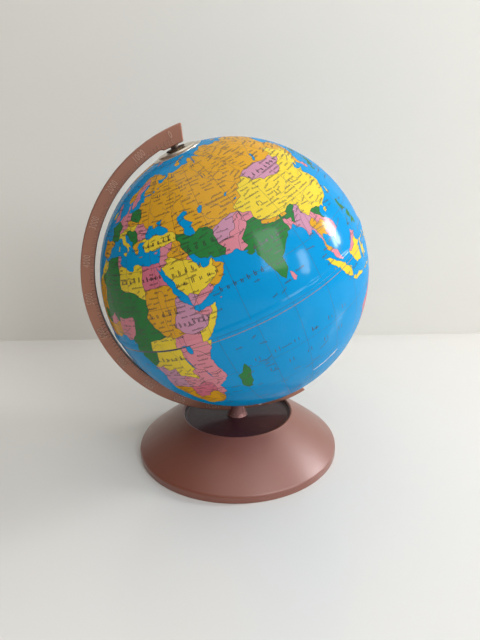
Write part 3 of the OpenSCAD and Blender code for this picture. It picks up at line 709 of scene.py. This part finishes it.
RIVERS = """
31,31.3 31,27.5 33,24.5 31,21.5 33.8,19 32.5,15.5 32,10 31.5,5 32.4,1
32.5,15.5 34.5,12 37.5,11.5
48.3,30.3 45,32.5 43.5,35.5 41,38.5
46.5,31.5 42.5,33.5 38.5,36 39.5,39.5
67.5,24 68.5,27.5 71,30 72.5,34 78,34
90.5,22.5 88,25 83.5,25.5 79,28.5 78,30.5
91.5,23.5 91,26 95,28 92,29.3 82,30
95.5,16 95,20 96.5,24.5
98,16.8 98,21 97.5,25 93.5,31.5
106.5,10.2 105,15 102,18 101,22 98,29.5
121.5,31.8 117,31 112,30 107,29.5 102,27 98.5,32 91,34
118.5,37.8 113,35 110.5,35.5 110.5,40.5 106,39 103,36 96,34
113.3,22.8 107.5,24 103.5,25
48,46 45.5,48.5 48.5,53 49,56 44,57 36,56.8
39.5,47.2 43,49 39.5,52
31.5,46.8 34.5,48.5 31,51.5 32,55
29.5,45.3 23,44 19,46.5 12,48.5
71.5,66.5 66,66 69,61 73,60 78,57 83,54
69,61 70,58 73,55 78,52 84,48
82.5,71 86,66 89,60 92,56 95,53
126.5,72.5 124,67 129,63 120,60 107,54.5
129,63 134,59.5
140.5,53 136,49.5 127.5,50.5 121,53
62,46 67,44.5 70,41.5 75,41.3
59.5,43.5 63,39.5 67,37.5 72,38.5
52,47 51.5,51.5 58,51.5
12.5,-6 16,-3 18,1 23,2 26,-2 26,-9
36.2,-18.6 31,-16 26,-17.8 22.5,-14
6.2,4.6 6,8 4,12.5 0,16.5 -5,14.5 -10,11
-50,-.5 -58,-2.5 -65,-3.5 -73,-4 -75,-9
-58.3,-34 -59,-30 -57,-23 -50,-19
-62,9 -67,6.5
-89.5,29.8 -91,34 -89.5,38 -91,43 -94.5,46.5
-89.5,38 -95,40 -101,44 -109,48
-97.2,26 -104,30 -106,36
-135,69 -130,64 -122,61 -114,60
"""

# Scratches through the print: start and end as (longitude, latitude), and width in millimetres
SCUFFS = (
    ((75.4, -36.8), (79.6, -36.5), 0.7),
    ((79.2, -36.3), (83.6, -35.9), 1.0),
    ((83.2, -35.7), (86.4, -35.2), 0.7),
    ((86, -34.9), (89.8, -34.4), 1.3),
    ((88.4, -34.1), (91.4, -33.8), 0.8),
)

# Spaced names of countries and oceans: the middle's longitude and latitude, how many strokes, and
# the degrees between them
LARGE_NAMES = (
    (62, 58, 6, 9), (88, 66, 7, 8), (96, 36, 5, 9), (103, 47, 8, 2.3), (78, 23, 5, 2.4), (54, 32, 4, 3),
    (45, 25.5, 5, 2.6), (48, 21.5, 6, 3), (17, 27, 5, 2.4), (29, 26.5, 5, 1.9), (30, 13, 5, 2.8),
    (40, 8, 8, 1.9), (34, 39, 6, 2.2), (23, -3, 5, 2.2), (133, -26, 9, 3.5), (63, 15, 7, 2.6),
    (75, -12, 6, 8), (75, -20, 5, 8), (-100, 40, 6, 6), (-100, 58, 6, 7), (-55, -10, 6, 5),
    (-65, -36, 9, 1.8),
)


# ------------------------------------------------------------------ the map's lines and countries

SHORTEST_CRINKLE = 0.9     # degrees
DATE_LINE = 179.9          # from here on a line runs along the map's edge
SLIVER = 4                 # square degrees under which an unnamed region joins its neighbour


def pairs(text):
    return [tuple(float(n) for n in word.split(",")) for word in text.split()]


def squeezed(lat, least):
    """How much shorter a degree of longitude is than one of latitude there, but not below least."""
    return max(least, math.cos(math.radians(lat)))


def broken(a, b, rough, rng):
    """Points from a up to but without b: the middle is pushed sideways, then each half again."""
    squeeze = squeezed(a[1], 0.2)
    across, up = (b[0] - a[0]) * squeeze, b[1] - a[1]
    if math.hypot(across, up) < SHORTEST_CRINKLE or abs(a[0]) > DATE_LINE:
        return [a]
    push = rng.uniform(-rough, rough)
    middle = ((a[0] + b[0]) / 2 - push * up / squeeze, (a[1] + b[1]) / 2 + push * across)
    return broken(a, middle, rough, rng) + broken(middle, b, rough, rng)


def crinkled(points, closed, rough, rng):
    """A line or ring of points with a coast's small irregularities between them."""
    ends = points[1:] + (points[:1] if closed else [])
    out = [p for a, b in zip(points, ends) for p in broken(a, b, rough, rng)]
    return out if closed else out + points[-1:]


def lengthened(points, reach=0.8):
    """A line with its two ends drawn out in their own directions, so that it meets what bounds it."""
    def beyond(end, before):
        long = math.hypot(end[0] - before[0], end[1] - before[1])
        return tuple(e + (e - b) * reach / long for e, b in zip(end, before))
    return [beyond(points[0], points[1])] + points + [beyond(points[-1], points[-2])]


class Chart:
    """The whole map as one flat triangulation in degrees, each triangle with its region's colour."""

    MAX_LAT = 88
    SEAM_ROWS = (0, 0.25, 0.5, 0.9, 1.4, 2, 2.4, 2.8)

    def __init__(self):
        rng = random.Random(8)
        self.land = [(tone, crinkled(pairs(text), True, 0.13, rng)) for _, tone, text in LAND]
        self.lakes = [crinkled(pairs(text), True, 0.1, rng) for _, text in LAKES]
        frontiers = [
            crinkled(lengthened(pairs(row)), False, 0.09, rng)
            for row in FRONTIERS.strip().splitlines()
        ]
        self.points, self.lines, self.is_wall = [], [], []
        for ring in [ring for _, ring in self.land] + self.lakes:
            self.draw(ring, closed=True)
        for line in frontiers:
            self.draw(line)
        self.add_grid()
        result = delaunay_2d_cdt(self.points, self.lines, [], 0, 1e-5, True)
        self.spots = np.array([tuple(p) for p in result[0]])
        self.triangles = self.on_map(np.array(result[2]))
        self.walls = dict.fromkeys(      # a dict keeps the edges in order
            frozenset(edge)
            for edge, source in zip(result[1], result[4])
            if any(self.is_wall[i] for i in source)
        )
        self.corners = self.spots[self.triangles]
        self.flood()
        self.paint()

    def draw(self, points, closed=False, wall=True):
        """Adds a line that the triangles keep to; a wall also parts one region from another."""
        first = len(self.points)
        count = len(points)
        self.points += [Vector(p) for p in points]
        for i in range(count if closed else count - 1):
            self.lines.append((first + i, first + (i + 1) % count))
            self.is_wall.append(wall)

    def add_grid(self):
        """Rows of points, close enough to keep the ball round, with its own rows for the rim."""
        rows = [lat for lat in range(-self.MAX_LAT, self.MAX_LAT + 1, 2) if lat not in (0, 2)]
        rows += self.SEAM_ROWS
        for lat in rows:
            step = 2 if abs(lat) < 60 else 4 if abs(lat) < 78 else 8
            row = [(lon, lat) for lon in range(-180, 180, step)] + [(180, lat)]
            if lat in (0, self.MAX_LAT, -self.MAX_LAT):
                self.draw(row, wall=False)
            else:
                self.points += [Vector(p) for p in row]
        for lon in (-180, 180):
            self.draw([(lon, lat) for lat in sorted(rows)], wall=False)

    def on_map(self, triangles):
        """The triangles inside the map's frame, each turned anticlockwise."""
        middle = self.spots[triangles].mean(axis=1)
        kept = (abs(middle[:, 0]) < 180) & (abs(middle[:, 1]) < self.MAX_LAT)
        triangles = triangles[kept]
        a, b, c = (self.spots[triangles[:, k]] for k in range(3))
        clockwise = np.cross(b - a, c - a) < 0
        triangles[clockwise] = triangles[clockwise][:, ::-1]
        return triangles

    def flood(self):
        """Numbers the regions that coasts, shores and frontiers enclose."""
        self.sides = {}
        for number, triangle in enumerate(self.triangles.tolist()):
            for i in range(3):
                self.sides.setdefault(frozenset((triangle[i], triangle[i - 1])), []).append(number)
        neighbours = [[] for _ in self.triangles]
        for edge, both in self.sides.items():
            if len(both) == 2 and edge not in self.walls:
                neighbours[both[0]].append(both[1])
                neighbours[both[1]].append(both[0])
        self.region = np.full(len(self.triangles), -1)
        self.regions = 0
        for start in range(len(self.triangles)):
            if self.region[start] >= 0:
                continue
            waiting = [start]
            self.region[start] = self.regions
            while waiting:
                for other in neighbours[waiting.pop()]:
                    if self.region[other] < 0:
                        self.region[other] = self.regions
                        waiting.append(other)
            self.regions += 1

    def triangle_at(self, lon, lat):
        """The number of the triangle that holds a place, or None outside the map."""
        a, b, c = (self.corners[:, k] for k in range(3))
        spot = np.array((lon, lat))
        inside = np.ones(len(a), bool)
        for p, q in ((a, b), (b, c), (c, a)):
            inside &= np.cross(q - p, spot - p) >= -1e-9
        found = np.flatnonzero(inside)
        return found[0] if len(found) else None

    @staticmethod
    def encloses(ring, spot):
        """Whether a ring goes round a spot: east of it, the ring crosses its row an odd number of times."""
        ring = np.array(ring)
        after = np.roll(ring, -1, axis=0)
        spans = (ring[:, 1] > spot[1]) != (after[:, 1] > spot[1])
        a, b = ring[spans], after[spans]
        crossing = a[:, 0] + (spot[1] - a[:, 1]) * (b[:, 0] - a[:, 0]) / (b[:, 1] - a[:, 1])
        return np.count_nonzero(crossing > spot[0]) % 2 == 1

    def paint(self):
        """Gives each region sea, its land's colour or its own country's; slivers take a neighbour's."""
        a, b, c = (self.corners[:, k] for k in range(3))
        size = abs(np.cross(b - a, c - a)) / 2
        area = np.bincount(self.region, size, self.regions)
        self.tone = ["sea"] * self.regions
        for number in range(self.regions):
            members = np.flatnonzero(self.region == number)
            spot = self.corners[members[size[members].argmax()]].mean(axis=0)
            if any(self.encloses(ring, spot) for ring in self.lakes):
                continue
            homes = [tone for tone, ring in self.land if self.encloses(ring, spot)]
            if homes:
                self.tone[number] = homes[0]
        named = set()
        for tone, spots in COUNTRIES.items():
            for lon, lat in pairs(spots):
                triangle = self.triangle_at(lon, lat)
                if triangle is not None and self.tone[self.region[triangle]] != "sea":
                    self.tone[self.region[triangle]] = tone
                    named.add(self.region[triangle])
        for edge in self.walls:
            both = [self.region[n] for n in self.sides.get(edge, [])]
            if len(both) < 2 or "sea" in (self.tone[both[0]], self.tone[both[1]]):
                continue
            small, large = sorted(both, key=lambda n: area[n])
            if small not in named and area[small] < SLIVER:
                self.tone[small] = self.tone[large]

    def is_land(self, lon, lat):
        triangle = self.triangle_at(lon, lat)
        return triangle is not None and self.tone[self.region[triangle]] != "sea"

    def outlines(self, coast):
        """Polylines of the coasts, or of the frontiers between lands, in degrees."""
        joined = {}
        for edge in self.walls:
            both = [self.region[n] for n in self.sides.get(edge, [])]
            if len(both) < 2 or both[0] == both[1]:
                continue
            wet = [self.tone[n] == "sea" for n in both]
            if not all(wet) and any(wet) == coast:
                a, b = edge
                joined.setdefault(a, set()).add(b)
                joined.setdefault(b, set()).add(a)
        starts = [p for p in joined if len(joined[p]) != 2] + list(joined)
        for start in starts:
            while joined[start]:
                line = [start]
                while joined[line[-1]]:
                    here = line[-1]
                    onward = min(joined[here])
                    joined[here].discard(onward)
                    joined[onward].discard(here)
                    line.append(onward)
                    if len(joined[onward]) != 1:
                        break
                yield [tuple(self.spots[p]) for p in line]


# ------------------------------------------------------------------ the ball

def outward(lon, lat, south):
    """Outward normal of the ball, which leans over where the rim rises."""
    step = 0.05
    east = on_ball(lon + step, lat, 0, south) - on_ball(lon - step, lat, 0, south)
    north = on_ball(lon, lat + step, 0, south) - on_ball(lon, lat - step, 0, south)
    return east.cross(north).normalized()


def shell_mesh(name, chart, south):
    """One half-shell: the printed outside, the bare inside and the cut edges between them."""
    below = chart.corners[:, :, 1].mean(axis=1) < 0
    chosen = np.flatnonzero(below == south)
    points, normals, numbers, seen = [], [], {}, {}
    for spot in np.unique(chart.triangles[chosen]):
        lon, lat = chart.spots[spot]
        if abs(lon) > 179.999:
            lon = 180
        key = (round(lon, 5), round(lat, 5))
        if key not in seen:
            seen[key] = len(points)
            up = printed_lat(lat) if not south or lat < 0 else 0
            points.append(on_ball(lon, up, 0, south))
            normals.append(outward(lon, max(up, 0.06) if not south else min(up, -0.06), south))
        numbers[spot] = seen[key]
    count = len(points)
    outside = [[numbers[p] for p in chart.triangles[t]] for t in chosen]
    inside = [[p + count for p in reversed(face)] for face in outside]
    once = {}
    for face in outside:
        for i in range(3):
            once.setdefault(frozenset((face[i - 1], face[i])), []).append((face[i - 1], face[i]))
    rims = [uses[0] for uses in once.values() if len(uses) == 1]
    edges = [[b, a, a + count, b + count] for a, b in rims]
    inner = [p - n * TIN_T for p, n in zip(points, normals)]
    mesh = mesh_of(name, points + inner, outside + inside + edges)
    tones = list(MAP_COLOURS)
    slots = [tones.index(chart.tone[chart.region[t]]) for t in chosen]
    slots += [len(tones)] * (len(inside) + len(edges))
    mesh.polygons.foreach_set("material_index", slots)
    split = [tuple(normals[p]) for face in outside for p in face]
    split += [tuple(-normals[p - count]) for face in inside for p in face]
    split += [(0, 0, 0)] * (4 * len(edges))
    mesh.normals_split_custom_set(split)
    return mesh


HALVES = (("north", False), ("south", True))
LAND_NAMES_KEPT, SEA_NAMES_KEPT = 0.8, 0.1
NAME_ROWS = 1.75            # degrees of latitude between rows of names
NAME_STEP = 4.6             # degrees along a row from one name to the next
# Where the painted shadow under the seam's rim is widest: its middle longitude and how many degrees it
# reaches each side, on the ball's left, which lies in shade.
SEAM_SHADOW_LON, SEAM_SHADOW_HALF = -4, 40


class Ink:
    """Printed lines as flat ribbons just above the tin, one mesh for each half-shell."""

    def __init__(self, lift):
        self.lift = lift
        self.points = {False: [], True: []}
        self.faces = {False: [], True: []}

    def line(self, route, width):
        """A line through (longitude, latitude) points, in degrees; it is cut at the seam."""
        stretch = []
        for a, b in zip(route, route[1:]):
            long = max(abs(b[0] - a[0]), abs(b[1] - a[1]))
            on_rim = min(abs(a[1]), abs(b[1])) < SEAM_LAT and a[1] != b[1]
            steps = max(1, math.ceil(long / (0.4 if on_rim else 1.6)))
            if (a[1] < 0) != (b[1] < 0):
                steps = max(steps, 2)
            for k in range(steps):
                t = k / steps
                stretch.append((a[0] + (b[0] - a[0]) * t, a[1] + (b[1] - a[1]) * t))
        stretch.append(route[-1])
        part, south = [], stretch[0][1] < 0
        for here, after in zip(stretch, stretch[1:] + [None]):
            part.append(here)
            if after is None or (after[1] < 0) != south:
                if after is not None:
                    t = here[1] / (here[1] - after[1])
                    meet = (here[0] + (after[0] - here[0]) * t, -0.001 if south else 0.001)
                    part.append(meet)
                self.ribbon(part, width, south)
                part = [] if after is None else [(meet[0], -meet[1])]
                south = not south

    def ribbon(self, route, width, south):
        """A flat strip along a route that lies on one half-shell."""
        spots = [on_ball(lon, printed_lat(lat), self.lift, south) for lon, lat in route]
        spots = [p for i, p in enumerate(spots) if i == 0 or (p - spots[i - 1]).length > 0.02 * MM]
        if len(spots) < 2:
            return
        points, faces = self.points[south], self.faces[south]
        first = len(points)
        for i, spot in enumerate(spots):
            ahead = spots[min(i + 1, len(spots) - 1)] - spots[max(i - 1, 0)]
            side = spot.cross(ahead).normalized() * (width / 2)
            points += [spot + side, spot - side]
        for i in range(first, len(points) - 2, 2):
            faces.append([i, i + 1, i + 3, i + 2])

    def add(self, name, finish, halves=HALVES):
        """Makes the lines of each of the given half-shells a piece."""
        for half, south in halves:
            mesh = mesh_of(f"{name}_{half}", self.points[south], self.faces[south])
            add_piece(mesh.name, mesh, "globe", [finish])


def greeked_name(ink, lon, lat, strokes, height, gap, rng, lean, weight):
    """A name as a map shows it from afar: a row of short strokes, with no letter in it."""
    squeeze = squeezed(lat, 0.25)
    for k in range(strokes):
        along = (k - (strokes - 1) / 2) * gap
        x, y = lon + along / squeeze, lat + along * lean
        tall = height * rng.choice((0.62, 0.7, 1.0))
        ink.line([(x, y - height / 2), (x, y - height / 2 + tall)], weight * MM)


def print_names(ink, chart):
    """Small place names thick on land and thin at sea, and the spaced names of the large countries."""
    rng = random.Random(21)
    for row in range(-43, 44):
        lat = row * NAME_ROWS + rng.uniform(-0.2, 0.2)
        step = NAME_STEP / squeezed(lat, 0.25)
        for column in range(int(360 / step)):
            lon = -180 + (column + rng.uniform(0.1, 0.9)) * step
            strokes, draw = rng.randint(5, 12), rng.random()
            kept = LAND_NAMES_KEPT if chart.is_land(lon, lat) else SEA_NAMES_KEPT
            if abs(lat) < 3.5 or lon < -178 or draw > kept:
                continue
            lean = rng.choice((0, 0, 0, 0, 0.2, -0.15, 0.4))
            greeked_name(ink, lon, lat, strokes, 0.72, 0.36, rng, lean, 0.3)
    for lon, lat, strokes, gap in LARGE_NAMES:
        greeked_name(ink, lon - gap * 0.1, lat, strokes, 1.9, gap, rng, 0, 0.5)
        greeked_name(ink, lon + gap * 0.12, lat, strokes, 1.9, gap, rng, 0, 0.42)


def print_lines(chart):
    """The degree net with the names, the coasts and frontiers, and the rivers."""
    grid, outlines, rivers = Ink(0.03 * MM), Ink(0.04 * MM), Ink(0.035 * MM)
    for lon in range(-180, 180, 15):
        grid.line([(lon, 80), (lon, -80)], 0.16 * MM)
    for lat in range(-75, 76, 15):
        if lat:
            grid.line([(lon, lat) for lon in range(-180, 181, 10)], 0.16 * MM)
    for coast, width in ((False, 0.24 * MM), (True, 0.17 * MM)):
        for outline in chart.outlines(coast):
            outlines.line(outline, width)
    rng = random.Random(5)
    for row in RIVERS.strip().splitlines():
        rivers.line(crinkled(pairs(row), False, 0.16, rng), 0.15 * MM)
    print_names(grid, chart)
    dark = print_ink("map_ink", colour(38, 30, 34), colour(70, 60, 60))
    water = print_ink("river_ink", colour(30, 62, 84), colour(60, 90, 110))
    grid.add("ink_grid", dark)
    outlines.add("ink_outlines", dark)
    rivers.add("ink_rivers", water)


def mark_seam():
    """A painted shadow under the upper shell's rim, thin all round and widest on the ball's left, where the
    rim's shade falls; the equator's printed scale and the scratches near it.
    """
    gap, scale, scuff = Ink(0.035 * MM), Ink(0.03 * MM), Ink(0.045 * MM)
    for lon in range(-180, 180, 2):
        # The dark navy ribbon is painted shadow under the rim: 0.22 mm wide all round, widening to about 1.2
        # mm on the ball's shaded left.
        wide = 0.22 + 1.0 * smooth((SEAM_SHADOW_HALF - abs(lon - SEAM_SHADOW_LON)) / 10)
        gap.line([(lon, -0.1 * wide), (lon + 2, -0.1 * wide)], wide * MM)
        if not -40 < lon < 34:
            scale.line([(lon, -0.5), (lon + 1.85, -0.5)], 0.45 * MM)
    for start, end, width in SCUFFS:
        scuff.line([start, end], width * MM)
    tan = print_ink("equator_ink", colour(150, 122, 100), colour(120, 110, 105))
    navy = print_ink("seam_shadow", colour(12, 34, 62), colour(22, 46, 74))
    bare = print_ink("bared_primer", colour(236, 234, 226), colour(196, 200, 204))
    south_only = HALVES[1:]
    gap.add("seam_painted_shadow", navy, south_only)
    scale.add("ink_equator", tan, south_only)
    scuff.add("scuff", bare, south_only)


def build_ball():
    chart = Chart()
    finishes = [printed_tin("tin_" + name, tone) for name, tone in MAP_COLOURS.items()]
    finishes.append(pressed_metal("bare_tin", colour(176, 176, 172), 0.35, (1, 1, 6)))
    for half, south in HALVES:
        mesh = shell_mesh(f"ball_{half}", chart, south)
        add_piece(f"ball_{half}", mesh, "globe", finishes, [f"{half}_hemisphere"])
    print_lines(chart)
    mark_seam()


# ------------------------------------------------------------------ the meridian arm

ARM_IN_R = BALL_R + 5.6 * MM
ARM_OUT_R = ARM_IN_R + 10.1 * MM
ARM_SHIFT = 2.5 * MM        # the arm's curve is centred this far in front of the ball
ARM_T = 2 * half_width("meridian_arm")
ARM_STEP = 1.3              # degrees between the outline's points
BOSS_R = BALL_R + 3.5 * MM
BOSS_FRONT, BOSS_BACK = 6.3 * MM, -7.8 * MM
NORTH_FRONT = 7.1 * MM
NORTH_END, SOUTH_END = -4.2, 184.4
BOSS_FOOT = 6.7             # degrees from the pole to where a boss meets the arm's inner curve
FLARE_START, FLARE_H = 160, 2.9 * MM
RELIEF = 0.45 * MM          # height of the cast numerals and marks
THOUSAND = 14.47            # degrees of arm to each thousand on its scale
NUMERAL_SIZE = 6.8 * MM
NUMERAL_FOOT = 3.6 * MM     # from the arm's inner curve
NUMERAL_WIDTH = 0.62        # share of the typeface's own width
MARK_FOOT, MARK_TOP, FIFTH_TOP = 0.9 * MM, 3.2 * MM, 3.6 * MM
MARK_SLOPE = 0.2 * MM
# The painted highlight's outline, a whitish spot by the arm's outer edge: millimetres in from the arm's
# outer curve, and angle
GLINT_OUTLINE = ((2.2, 164.1), (1.1, 164.2), (1, 164.9), (1.3, 165.5), (2, 165.3), (2.3, 164.7))


def on_arm(r, angle, side=0.0):
    """Point in the ball's frame, by its place on the arm's curve, angle 0 being at the north."""
    turn = math.radians(angle)
    return Vector((ARM_SHIFT - r * math.sin(turn), side, r * math.cos(turn)))


def outer_r(angle):
    return ARM_OUT_R + FLARE_H * smooth((angle - FLARE_START) / (180 - FLARE_START))


def steps_between(start, end, step):
    """Numbers from start to end, about step apart."""
    count = round(abs(end - start) / step)
    return [start + (end - start) * i / count for i in range(count + 1)]


def arm_mesh():
    """The cast arm: its outline in the plane of the axis, as thick as the node."""
    outside = [on_arm(outer_r(a), a) for a in steps_between(NORTH_END, SOUTH_END, ARM_STEP)]
    inside = [on_arm(ARM_IN_R, a) for a in steps_between(180 - BOSS_FOOT, BOSS_FOOT, ARM_STEP)]
    south_boss = [Vector((x, 0, -BOSS_R)) for x in (BOSS_FRONT, BOSS_BACK)]
    north_boss = [Vector((x, 0, BOSS_R)) for x in (BOSS_BACK, NORTH_FRONT)]
    outline = outside + south_boss + inside + north_boss
    count = len(outline)
    half = Vector((0, ARM_T / 2, 0))
    points = [p - half for p in outline] + [p + half for p in outline]
    sides = [[i, i + count, (i + 1) % count + count, (i + 1) % count] for i in range(count)]
    faces = sides + [list(range(count)), list(range(2 * count - 1, count - 1, -1))]
    mesh = mesh_of("meridian_arm_cast", points, faces)
    shell = bmesh.new()
    shell.from_mesh(mesh)
    bmesh.ops.recalc_face_normals(shell, faces=shell.faces[:])
    shell.to_mesh(mesh)
    shell.free()
    return mesh


def numeral_mesh(text):
    """A number as a raised solid, its foot on y = 0; the scale narrows it as on a casting when it lays it on
    the arm.
    """
    curve = bpy.data.curves.new("numeral", "FONT")
    curve.body = text
    curve.align_x = "CENTER"
    curve.size = NUMERAL_SIZE
    curve.extrude = RELIEF / 2
    curve.space_character = 1.12
    curve.resolution_u = 4
    holder = bpy.data.objects.new("numeral", curve)
    mesh = bpy.data.meshes.new_from_object(holder)
    bpy.data.objects.remove(holder)
    return mesh


def raised_mark(cast, angle, foot, top):
    """A division mark with sloping sides, from the foot's radius to the top's."""
    face = -ARM_T / 2
    ends = []
    for half, slope, side in ((0.16, 0, face + 0.05 * MM), (0.07, MARK_SLOPE, face - RELIEF)):
        low, high = foot + slope, top - slope
        ends += [on_arm(r, angle + turn, side)
                 for r, turn in ((low, -half), (low, half), (high, half), (high, -half))]
    corners = [cast.verts.new(p) for p in ends]
    cast.faces.new(corners[4:])
    cast.faces.new(corners[3::-1])
    for i in range(4):
        j = (i + 1) % 4
        cast.faces.new((corners[i], corners[j], corners[j + 4], corners[i + 4]))


def arm_scale_mesh():
    """The distance scale cast on the arm's near face: numbers each thousand and ten marks between."""
    cast = bmesh.new()
    for thousand in range(13):
        angle = thousand * THOUSAND + (0 if thousand else 1)
        numeral = numeral_mesh(str(1000 * thousand))
        for vertex in numeral.vertices:
            x, y, z = vertex.co
            r = ARM_IN_R + NUMERAL_FOOT + y
            side = -ARM_T / 2 - z - RELIEF * 0.35
            vertex.co = on_arm(r, angle - math.degrees(NUMERAL_WIDTH * x / r), side)
        cast.from_mesh(numeral)
    for tenth in range(1, 121):
        angle = tenth * THOUSAND / 10
        foot = ARM_IN_R + MARK_FOOT
        if angle < BOSS_FOOT:
            foot -= 1.2 * MM
        raised_mark(cast, angle, foot, ARM_IN_R + (MARK_TOP if tenth % 5 else FIFTH_TOP))
    bmesh.ops.recalc_face_normals(cast, faces=cast.faces[:])
    # The raised tops take slot 0, a lighter copy of the arm's lacquer as painted highlight; the sides take
    # slot 1, a darker copy as painted shade.
    for each in cast.faces:
        each.material_index = 0 if each.normal.y < -0.9 else 1
    mesh = bpy.data.meshes.new("arm_scale")
    cast.to_mesh(mesh)
    cast.free()
    return mesh


def build_arm():
    paint = lacquer("arm_lacquer", colour(168, 114, 92), 0.38, 0.55, 0.35, 0.35)
    arm = add_piece("meridian_arm_cast", arm_mesh(), "stand", [paint], ["meridian_arm"])
    rounding = arm.modifiers.new("rounding", "BEVEL")
    rounding.width = 0.9 * MM
    rounding.segments = 4
    rounding.limit_method = "ANGLE"
    rounding.angle_limit = math.radians(30)
    rounding.harden_normals = True
    # Lit and shaded copies of the arm's lacquer for the cast scale: the lighter one paints highlight on the
    # raised tops, the darker one paints shade on their sides.
    worn = lacquer("painted_highlight_lacquer", colour(204, 158, 134), 0.4, 0.3, 0.6, 0.3)
    painted_shade_sides = lacquer("painted_shade_lacquer", colour(96, 54, 42), 0.6, 0.1, 0.3, 0.6)
    add_piece("arm_scale", arm_scale_mesh(), "stand", [worn, painted_shade_sides])
    # A whitish spot painted on the near face by the arm's outer edge, standing for a highlight on that edge.
    outline = [on_arm(ARM_OUT_R - depth * MM, angle, -ARM_T / 2 - 0.02 * MM) for depth, angle in GLINT_OUTLINE]
    glint = mesh_of("arm_glint", outline, [list(range(len(GLINT_OUTLINE)))])
    glint_ink = print_ink("painted_glint", colour(232, 226, 218), colour(190, 180, 172))
    add_piece("arm_glint", glint, "stand", [glint_ink])


# ------------------------------------------------------------------ the CAD nodes' finishes

def finish_cad_nodes():
    rose_brown = lacquer("rose_brown_lacquer", colour(134, 66, 42), 0.45, 0.1, 1.0, 0.4, 1.65)
    finish_nodes(rose_brown, "base_shell")
    # The post has the same rose-brown paint as the base; its lighter tone paints in the pale highlight that
    # it shows.
    finish_nodes(lacquer("post_lacquer_painted_highlight", colour(178, 124, 116), 0.25, 0.6, 1.0, 0.2), "stand_post")
    finish_nodes(dish_enamel(), "base_dish")
    for name, tone, rough, nodes in (
        ("zinc_steel", colour(206, 204, 200), 0.26, (
            "base_screw", "clamp_washer", "lock_washer", "north_pin", "south_pin",
            "north_backing_washer", "south_backing_washer")),
        ("blackened_steel", colour(86, 72, 64), 0.34, ("north_collar", "south_collar")),
        ("cap_aluminium", colour(214, 206, 190), 0.33, ("north_cap", "south_cap")),
        ("bush_brass", colour(120, 96, 66), 0.34, ("north_bush", "south_bush")),
    ):
        finish_nodes(pressed_metal(name, tone, rough, (1, 1, 5)), *nodes)
    finish_nodes(fibre_board(), "north_washer", "south_washer")
    finish_nodes(wool_felt(), "base_felt")


# ------------------------------------------------------------------ table, wall and lights

TABLE_REACH = 4
WALL_DISTANCE, WALL_LEFT, WALL_RIGHT, WALL_H = 0.693, 0.32, 0.45, 1.4    # seen from the camera
WALL_AHEAD = Vector((0.207, 0.978, 0))
WALL_ALONG = Vector((0.978, -0.207, 0))


def stage_board(name, corners, finish):
    board = mesh_of(name, corners, [[0, 1, 2, 3]])
    board.materials.append(finish)
    add_object(name, board)


def build_stage():
    far = TABLE_REACH
    table = [(-far, -far, 0), (far, -far, 0), (far, far, 0), (-far, far, 0)]
    stage_board("table_top", table, matt_board("table_white", colour(228, 225, 219), 0.22))
    foot = Vector((CAMERA_PLACE.x, CAMERA_PLACE.y, 0)) + WALL_AHEAD * WALL_DISTANCE
    left, right = foot - WALL_ALONG * WALL_LEFT, foot + WALL_ALONG * WALL_RIGHT
    up = Vector((0, 0, WALL_H))
    wall = [left, right, right + up, left + up]
    stage_board("back_panel", wall, matt_board("wall_white", colour(243, 239, 230), 0.5))


def build_lights():
    area_light("window", (1.404, -0.08, 0.681), CENTRE, (0.25, 0.42), 10.2, (0.95, 0.97, 1.0))
    area_light("curtained_window", (0.468, -1.2075, 0.9065), CENTRE, (0.5, 0.8), 6.8, (0.92, 0.97, 1.0))
    area_light("side_window", (1.05, -0.993, 0.55), CENTRE, (0.2, 0.42), 3, (0.9, 0.95, 1.0))
    area_light("ceiling", (0.8, 0, 2.2), (0.8, 0, 0), (4, 4), 43, (1.0, 0.98, 0.95))
    room_light((0.12, 0.095, 0.075, 1), (0.5, 0.53, 0.58, 1))


bpy.context.scene.view_settings.view_transform = "Standard"     # plain screen colours, as printed
build_stage()
build_lights()
add_camera()
build_ball()
build_arm()
finish_cad_nodes()
